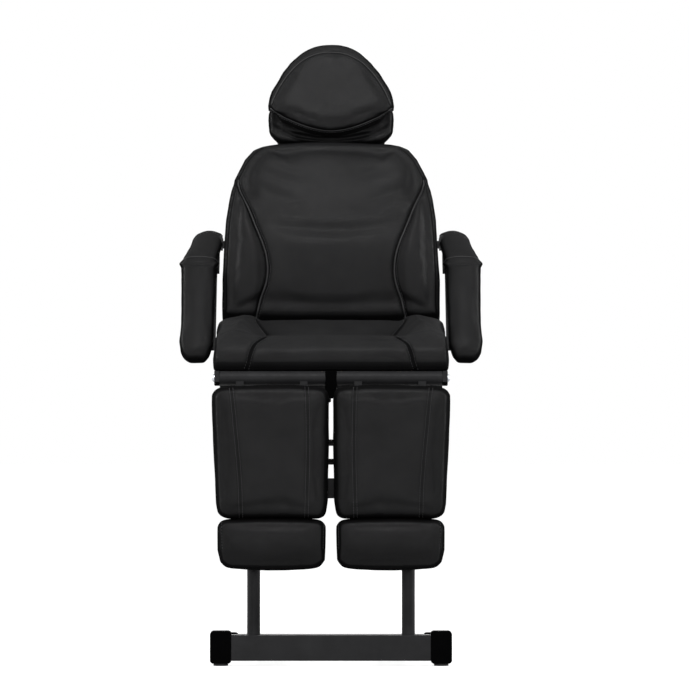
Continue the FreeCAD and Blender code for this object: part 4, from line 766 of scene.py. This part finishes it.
def shape_backrest(mesh):
    """The backrest reaches the headrest, bulges at the lumbar and draws in at the waist."""
    here = points_of(mesh)
    away = here - np.array(BACK_AT)
    height = away @ np.array(BACK_UP)
    grow = (BACK_TOP - height.max()) * smoothstep(height, 0.36, height.max() - 0.015)
    ahead = np.clip(-away @ np.array(BACK_AWAY) / BACK_THICKNESS, 0, 1)
    middle = np.clip(1 - (np.abs(here[:, 0]) / BACK_HALF) ** 2, 0, 1)
    bulge = LUMBAR_BULGE * np.exp(-((height - LUMBAR_AT) / LUMBAR_SPREAD) ** 2) * middle
    bulge -= WAIST_HOLLOW * np.exp(-((height - WAIST_AT) / WAIST_SPREAD) ** 2)
    bulge -= TOP_ROLL * smoothstep(height, 0.46, 0.6)
    here += np.array(BACK_UP) * grow[:, None] - np.array(BACK_AWAY) * (bulge * ahead)[:, None]
    put_points(mesh, here)


SEAT_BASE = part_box("seat_board")[1][2]
roll_foot_pad(FORMS["foot_cushion_left"].data)
raise_seat_rear(FORMS["seat_cover"].data)
shape_backrest(FORMS["backrest_cover"].data)

# Half widths in the photograph: row, distance from the chair's middle line.
fit_sides(FORMS["backrest_cover"], ((143, 56), (146, 70), (150, 78.5), (160, 87), (170, 92),
                                    (180, 97), (190, 100), (200, 102), (220, 105), (246, 107),
                                    (281, 109), (330, 109)))
fit_sides(FORMS["seat_cover"], ((317, 104), (320, 109), (323, 112), (329, 114), (345, 116.5),
                                (359, 118), (372, 118)), most=0.06)
fit_sides(FORMS["headrest_pillow_cover"],
          ((45, 13), (48, 20), (52, 28), (56, 33.5), (60, 38), (64, 42), (68, 45), (72, 48.5),
           (76, 51), (80, 53), (84, 55.5), (88, 58), (92, 60), (96, 61.3), (100, 62.3),
           (106, 63), (111, 62.5), (118, 48), (124, 36), (130, 20), (135, 6)), most=0.1)
fit_sides(FORMS["headrest_base"], ((60, 30), (80, 47), (96, 56), (108, 60.5), (114, 62.5),
                                   (120, 63), (132, 62), (136, 60.5), (140, 57.5), (144, 54),
                                   (147, 48)))
fit_sides(FORMS["calf_cushion_left"], ((386, 112), (391, 117), (395, 119), (416, 119),
                                       (440, 118), (464, 116.8), (488, 116), (504, 115),
                                       (512, 113.5), (520, 109)),
          ((386, 6), (392, 3), (400, 2.2), (440, 2.2), (500, 3), (520, 6)), -1)
fit_sides(FORMS["foot_cushion_left"], ((520, 111), (526, 113.5), (550, 113.5), (562, 111),
                                       (570, 105)),
          ((520, 8), (526, 5.5), (560, 6), (570, 12)), -1)
fit_sides(FORMS["armrest_cushion_left"],
          ((230, 129), (234, 135), (240, 139), (246, 141), (252, 144), (258, 147), (264, 149.5),
           (293, 149.5), (323, 150), (341, 151.5), (353, 150), (360, 147), (363, 144)),
          ((230, 116), (234, 109), (240, 107.5), (250, 110), (258, 112.5), (264, 113.5),
           (270, 115), (293, 115.3), (323, 117), (345, 118), (356, 121), (363, 124)), -1)

for name, form in FORMS.items():
    rumple(form, 0.0016, (7, 7, 6), len(name))

# Seams as pixels of the photograph, on its left half where they are mirrored.
BACK_SEAM = ((235.5, 177), (241, 190), (249, 207), (256, 225), (263, 243), (267, 258),
             (267.6, 274), (265, 288), (261, 300), (257.5, 314), (255, 326))
BACK_EDGE = ((262, 148), (253, 154), (246, 163), (241, 172), (236.5, 184), (233, 196),
             (230.5, 208), (228.5, 222), (227, 240), (226, 260), (225, 282), (225, 305),
             (225, 326))
SEAT_SEAM = ((247, 370), (249.5, 358), (253, 346), (258, 340.5), (265, 336.5))
SEAT_TOP_SEAM = ((268, 335), (264, 330), (260, 325), (257, 320))
PILLOW_TOP_SEAM = ((271.5, 104), (274, 97), (277.5, 90), (282, 82.5), (287, 75.5),
                   (293, 68.5), (300, 62), (308, 57), (319, 53), (331, 52), (343, 53),
                   (354, 57), (362, 62), (369, 68.5), (375, 75.5), (380, 82.5), (384.5, 90),
                   (388, 97), (390.5, 104))
PILLOW_SEAM = ((269.8, 108.5), (272, 110), (277, 113.8), (284, 117.8), (297, 123.5), (313, 129),
               (331, 131.5), (349, 129), (365, 123.5), (378, 117.8), (385, 113.8), (390, 110),
               (392.2, 108.5))
CALF_INNER_SEAM = ((306.5, 387), (307.5, 400), (308, 440), (307.5, 480), (306.5, 518))
CALF_OUTER_SEAM = ((231, 388), (233.5, 410), (236, 438), (239, 470), (240.5, 500), (241, 518))
seams = {}


def seam(name, form, pixels, depth, width, both=True, cord=0.0, rows=()):
    """Press a seam into its piece and keep its line for the cord and the stitches."""
    for side, flip in (("left", False), ("right", True)) if both else (("left", False),):
        line = settled(seen_line(FORMS[form], pixels, flip))
        press(FORMS[form], line, depth, width)
        seams[f"{name}_{side}" if both else name] = (form, line, cord, rows)


def laid(line, tree):
    """The line brought back onto its piece after all the seams are pressed."""
    spots, ways = resampled(line, 0.004)
    made = []
    for spot, way in zip(spots, ways):
        way = Vector(way)
        hit = tree.ray_cast(Vector(spot) + way * 0.02, -way, 0.05)
        found, normal = (hit if hit[0] is not None else tree.find_nearest(Vector(spot)))[:2]
        made.append((found, normal))
    return settled(made, 4)


# Soft folds first, so that the seams run over them: piece, pixels, depth and width.
FOLDS = [
    ("backrest_cover", ((258, 160), (272, 166), (292, 173), (314, 177)), 0.002, 0.018),
    ("backrest_cover", ((248, 178), (264, 190), (286, 199), (300, 203)), 0.002, 0.018),
    ("backrest_cover", ((262, 222), (286, 227), (310, 229), (331, 230), (352, 229), (376, 227),
                        (400, 222)), 0.0022, 0.02),
    ("backrest_cover", ((268, 286), (284, 295), (304, 301)), 0.0016, 0.018),
    ("seat_cover", ((262, 352), (275, 357), (292, 359)), 0.0012, 0.012),
    ("headrest_base", ((271, 121), (286, 131), (306, 137), (331, 139), (356, 137), (376, 131),
                       (391, 121)), 0.004, 0.006),
    ("headrest_base", ((273, 129), (288, 137), (304, 141)), 0.003, 0.005),
    ("headrest_base", ((277, 136), (281, 131), (286, 128)), 0.002, 0.004),
]
for form, pixels, depth, width in FOLDS:
    for flip in (False, True):
        press(FORMS[form], settled(seen_line(FORMS[form], pixels, flip)), depth, width, True)

seam("back_seam", "backrest_cover", BACK_SEAM, 0.0075, 0.006, cord=0.0026, rows=(0.0062,))
seam("back_edge", "backrest_cover", BACK_EDGE, 0.0032, 0.005)
seam("seat_seam", "seat_cover", SEAT_SEAM, 0.006, 0.006, rows=(-0.0055, 0.0055))
seam("seat_top_seam", "seat_cover", SEAT_TOP_SEAM, 0.005, 0.006, rows=(0.0055,))
seam("pillow_top_seam", "headrest_pillow_cover", PILLOW_TOP_SEAM, 0.002, 0.004, both=False,
     cord=0.0016)
seam("pillow_seam", "headrest_pillow_cover", PILLOW_SEAM, 0.003, 0.0042, both=False,
     cord=0.0018, rows=(-0.0048,))
for name, pixels in (("calf_inner_seam", CALF_INNER_SEAM), ("calf_outer_seam", CALF_OUTER_SEAM)):
    seam(name, "calf_cushion_left", pixels, 0.0028, 0.0045, both=False, rows=(-0.0045, 0.0045))
for name, pixels in (("foot_inner_seam", ((322.5, 521), (323, 532), (323, 548))),
                     ("foot_outer_seam", ((221, 521), (220.5, 532), (221, 548)))):
    seam(name, "foot_cushion_left", pixels, 0.0022, 0.004, both=False, rows=(0.0035,))

# The armrest's cover is gathered at its bend, with a small ear at each side.
BEND_ROW = 264
arm = FORMS["armrest_cushion_left"].data
spots, ways = points_of(arm), normals_of(arm)
rise = (projected(spots)[1] - BEND_ROW) / 1.5
sideways = np.abs(ways[:, 0])
drawn_in = 0.0034 * np.exp(-rise ** 2) * np.clip(1 - 1.6 * sideways, 0, 1)
ears = 0.0042 * np.exp(-(rise * 0.8) ** 2) * np.clip(2.4 * sideways - 1.2, 0, 1)
put_points(arm, spots + ways * (ears - drawn_in)[:, None])

# Painted shade on side walls and in seam creases, and on the seat's lower edge and outer sides; the most shaded
# faces also get duller copies of the leather with less specular.
TURNED_FROM, WALL_FROM = 0.35, 0.7
for pad in PADS:
    mesh = pad["thing"].data
    spots, ways = points_of(mesh), normals_of(mesh)
    walls = 1 - smoothstep(-(ways @ np.array(pad["back"])), *pad.get("wall", (0.4, 0.965)))
    if pad["back"] == DOWN:
        # The seat is painted darker towards its board and on its outer sides: painted shade.
        low = 0.9 * (1 - smoothstep(spots[:, 2], SEAT_BASE, SEAT_BASE + 0.04))
        walls = np.maximum(low, smoothstep(ways[:, 0] * np.sign(spots[:, 0]), 0.45, 0.92))
    values = mark_painted_shade(mesh, slice(None), walls)
    mesh.materials.append(LEATHER_TURNED)
    mesh.materials.append(LEATHER_WALL)
    level = [values[list(face.vertices)].mean() for face in mesh.polygons]
    choice = np.digitize(level, (TURNED_FROM, WALL_FROM)).astype(np.int32)
    mesh.polygons.foreach_set("material_index", choice)


def mirror_name(name):
    return name.replace("_left", "_right") if "_left" in name else name + "_right"


def belongs(thing, body):
    """Attach the piece to its body; on a left body it gets its twin on the right."""
    things, bodies = [thing], [body]
    if "_left" in body:
        things.append(mirrored(mirror_name(thing.name), thing))
        bodies.append(mirror_name(body))
    for made, carrier in zip(things, bodies):
        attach(made, carrier)
    return things


for pad in PADS:
    sides = (pad["nodes"], [mirror_name(node) for node in pad["nodes"]])
    for thing, nodes in zip(belongs(pad["thing"], pad["body"]), sides):
        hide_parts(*nodes)

# Cords and stitches.
BODY_OF = {pad["name"]: pad["body"] for pad in PADS}
for name, (form, line, cord, rows) in seams.items():
    tree = surface(FORMS[form])
    line = laid(line, tree)
    made = []
    if cord:
        spots = [spot + way * cord * 0.25 for spot, way in line]
        made.append(tube(name + "_cord", spots, cord, PIPING))
    for number, aside in enumerate(rows):
        made.append(stitch_row(f"{name}_stitches_{number}", line, THREAD, aside=aside,
                               tree=tree))
    for thing in made:
        belongs(thing, BODY_OF[form])


def girth(thing, centre, side, up):
    """The closed line round a piece in the plane of two directions."""
    tree = surface(thing)
    found = []
    for angle in np.arange(72) * math.radians(5):
        way = side * math.cos(angle) + up * math.sin(angle)
        spot = tree.ray_cast(centre + way * 0.2, -way)[0]
        if spot is not None:
            found.append(spot)
    return found


# A cord runs round the armrest's cover at its bend.
BEND_TURN = math.radians(49.5)
arm_pivot = Vector(JOINTS["armrest_left_fold"]["pos_m"])
bend_at = Vector((-0.36, arm_pivot.y - 0.056, arm_pivot.z - 0.068))
ring_line = girth(FORMS["armrest_cushion_left"], bend_at, Vector((1, 0, 0)),
                  Vector((0, math.sin(BEND_TURN), -math.cos(BEND_TURN))))
arm_cord = tube("armrest_cord_left", ring_line, 0.0017, PIPING, 6, True)
belongs(arm_cord, "armrest_left")


# Hems on the boards.
def hull(flat):
    """The convex outline of flat points."""
    def half(ordered):
        run = []
        for spot in ordered:
            while len(run) > 1 and np.cross(np.subtract(run[-1], run[-2]),
                                            np.subtract(spot, run[-2])) <= 0:
                run.pop()
            run.append(spot)
        return run[:-1]
    spots = sorted({(round(u, 5), round(v, 5)) for u, v in flat})
    return np.array(half(spots) + half(spots[::-1]))


def even_loop(loop, gap):
    """A closed flat line with points at an even spacing."""
    closed = np.vstack([loop, loop[:1]])
    along = run_along(closed)
    places = np.linspace(0, along[-1], int(along[-1] / gap), endpoint=False)
    return np.stack([np.interp(places, along, column) for column in closed.T], 1)


def hem(node, body, rear, up):
    """Leather wrapped round a board's edge and stapled on its rear face."""
    rear, up, across = np.array(rear, float), np.array(up, float), np.array((1.0, 0, 0))
    spots = points_of(frame["nodes"][node].data)
    deep = spots @ rear
    front, back = deep.min(), deep.max()
    loop = even_loop(hull(np.stack([spots @ across, spots @ up], 1)), 0.006)
    centre, half = (loop.max(0) + loop.min(0)) / 2, np.ptp(loop, axis=0) / 2
    ragged = np.array([noise.noise(Vector((u * 45, v * 45, 0.5))) for u, v in loop]) * 0.003

    def ring(out, level):
        """The board's outline moved out, at a depth along rear."""
        flat = centre + (loop - centre) * (1 + np.broadcast_to(out, len(loop))[:, None] / half)
        level = np.broadcast_to(level, len(loop))[:, None]
        return flat[:, :1] * across + flat[:, 1:] * up + level * rear

    # Round the edge from the front, over the pleats to the ragged end, and back inside the board.
    pleats = back + 0.0013 + np.abs(ragged) * 0.25
    rings = [ring(0.0014, front + 0.001), ring(0.0014, back + 0.0004), ring(0.0004, back + 0.0014),
             ring(ragged * 0.5 - 0.013, pleats), ring(ragged - 0.026, pleats - 0.0003),
             ring(ragged - 0.0265, back - 0.0008), ring(-0.003, back - 0.0008),
             ring(-0.003, front + 0.001)]
    form = bmesh.new()
    bridged(form, [[form.verts.new(spot) for spot in line] for line in rings], True)
    turned_outward(form)
    name = node.replace("board", "hem")
    wrap = built(name, form, SHADE)
    line = [(Vector(spot), Vector(rear)) for spot in ring(-0.018, back + 0.0016)]
    staples = stitch_row(name + "_staples", line + line[:1], ZINC, 0.010, 0.036, 0.0006)
    belongs(wrap, body)
    belongs(staples, body)


hem("seat_board", "seat", (0, 0, -1), (0, 1, 0))
hem("back_board", "backrest", BACK_AWAY, BACK_UP)
hem("headrest_board", "headrest", BACK_AWAY, BACK_UP)
hem("calf_board_left", "leg_rest_left", (0, 1, 0), (0, 0, 1))
hem("foot_board_left", "foot_rest_left", (0, 1, 0), (0, 0, 1))


# Hinge covers and fasteners.
def rounded_cover(name, low, high, edge, body):
    """A moulded cover with rounded edges over a hinge bracket."""
    form = bmesh.new()
    bmesh.ops.create_cube(form, size=1)
    low, high = Vector(low), Vector(high)
    for vert in form.verts:
        vert.co = [(low[axis] + high[axis]) / 2 + vert.co[axis] * (high[axis] - low[axis])
                   for axis in range(3)]
    bmesh.ops.bevel(form, geom=form.edges[:], offset=edge, segments=4, profile=0.6,
                    affect="EDGES")
    belongs(built(name, form, PLASTIC), body)


def turned_form(form, place, axis, profile, sides=24):
    """Add a lathe form: the profile has radius and height pairs, and starts and ends at 0."""
    axis = Vector(axis).normalized()
    side = axis.orthogonal().normalized()
    other = axis.cross(side)
    rings = []
    for radius, height in profile:
        centre = Vector(place) + axis * height
        if radius == 0:
            rings.append([form.verts.new(centre)] * sides)
        else:
            rings.append(ring_of(form, centre, radius, side, other, sides))
    bridged(form, rings)


def cap_nut(form, place, axis, bore):
    """A washer and a domed hexagon nut on the end of a shaft."""
    turned_form(form, place, axis, ((0, -0.0005), (bore * 1.5, -0.0005), (bore * 1.55, 0.0004),
                                    (bore * 1.5, 0.0013), (0, 0.0013)))
    turned_form(form, place, axis, ((0, 0.001), (bore * 1.12, 0.001), (bore * 1.2, 0.0016),
                                    (bore * 1.2, 0.0042), (bore * 1.02, 0.005), (0, 0.005)), 6)
    turned_form(form, place, axis, ((0, 0.0045), (bore * 0.86, 0.0045), (bore * 0.8, 0.0062),
                                    (bore * 0.5, 0.0074), (0, 0.0078)), 20)


def screw(form, place, axis, radius):
    """A flat round screw head with a recess."""
    turned_form(form, place, axis, ((0, -0.0004), (radius, -0.0004), (radius, 0.0008),
                                    (radius * 0.82, 0.0016), (radius * 0.4, 0.0018),
                                    (radius * 0.34, 0.0009), (0, 0.0008)), 20)


def fasteners(name, body, build, material=ZINC):
    """One piece of small parts that build adds to its bmesh."""
    form = bmesh.new()
    build(form)
    turned_outward(form)
    belongs(built(name, form, material), body)


def on_ends(form, node, bore):
    """Cap nuts on both ends of a shaft that lies across the chair."""
    low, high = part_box(node)
    for x, way in ((low[0], -1), (high[0], 1)):
        cap_nut(form, (x, (low[1] + high[1]) / 2, (low[2] + high[2]) / 2), (way, 0, 0), bore)


_, hinge_y, hinge_z = Vector(JOINTS["leg_rest_left_raise"]["pos_m"])
COVER_HALF, COVER_TOP = 0.0185, 0.0195
CENTRE_HALF, CENTRE_DROP = 0.015, 0.052
END_INNER, END_OUTER = 0.2872, 0.3008
rounded_cover("hinge_cover_centre", (-CENTRE_HALF, hinge_y - COVER_HALF, hinge_z - CENTRE_DROP),
              (CENTRE_HALF, hinge_y + COVER_HALF, hinge_z + COVER_TOP), 0.0035, "seat")
for side, ends in (("left", (-END_OUTER, -END_INNER)), ("right", (END_INNER, END_OUTER))):
    rounded_cover(f"hinge_cover_{side}", (ends[0], hinge_y - COVER_HALF, hinge_z - COVER_HALF),
                  (ends[1], hinge_y + COVER_HALF, hinge_z + COVER_TOP), 0.0028, "seat")

fasteners("seat_shaft_nuts", "seat", lambda form: (
    on_ends(form, "leg_pivot_shaft", 0.0085), on_ends(form, "back_pivot_shaft", 0.0075),
    on_ends(form, "upper_rear_shaft", 0.0068)))
fasteners("lower_arm_nuts", "lower_arms", lambda form: on_ends(form, "lower_rear_shaft", 0.006))
fasteners("upper_arm_nuts", "upper_arms", lambda form: on_ends(form, "lift_drive_shaft", 0.006))


def box_screws(form):
    """Screws in the corners of the control box's lower face."""
    low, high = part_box("control_box")
    for x in (low[0] + 0.009, high[0] - 0.009):
        for y in (low[1] + 0.009, high[1] - 0.009):
            screw(form, (x, y, low[2]), (0, 0, -1), 0.0038)


def bracket_screws(form):
    """Screws through the headrest's plate into its board."""
    plate = surface(frame["nodes"]["headrest_bracket"])
    middle = Vector(JOINTS["headrest_tilt"]["pos_m"])
    for x in (-0.042, 0.042):
        for rise in (-0.032, 0.032):
            spot = middle + Vector((x, 0, 0)) + BACK_UP * rise
            hit = plate.ray_cast(spot + BACK_AWAY * 0.1, -BACK_AWAY, 0.2)
            if hit[0] is not None:
                screw(form, hit[0], BACK_AWAY, 0.0045)


fasteners("control_box_screws", "seat", box_screws)
fasteners("headrest_plate_screws", "headrest", bracket_screws)

tube_low, tube_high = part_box("back_drive_tube")
fasteners("back_drive_collar", "seat", lambda form: turned_form(
    form, ((tube_low[0] + tube_high[0]) / 2, tube_high[1], (tube_low[2] + tube_high[2]) / 2),
    (0, 1, 0), ((0, -0.012), (0.0186, -0.012), (0.0192, -0.011), (0.0192, -0.001),
                (0.0182, 0.0006), (0.0098, 0.0012), (0.0098, 0.0006), (0, 0.0004)), 40),
    CASE)
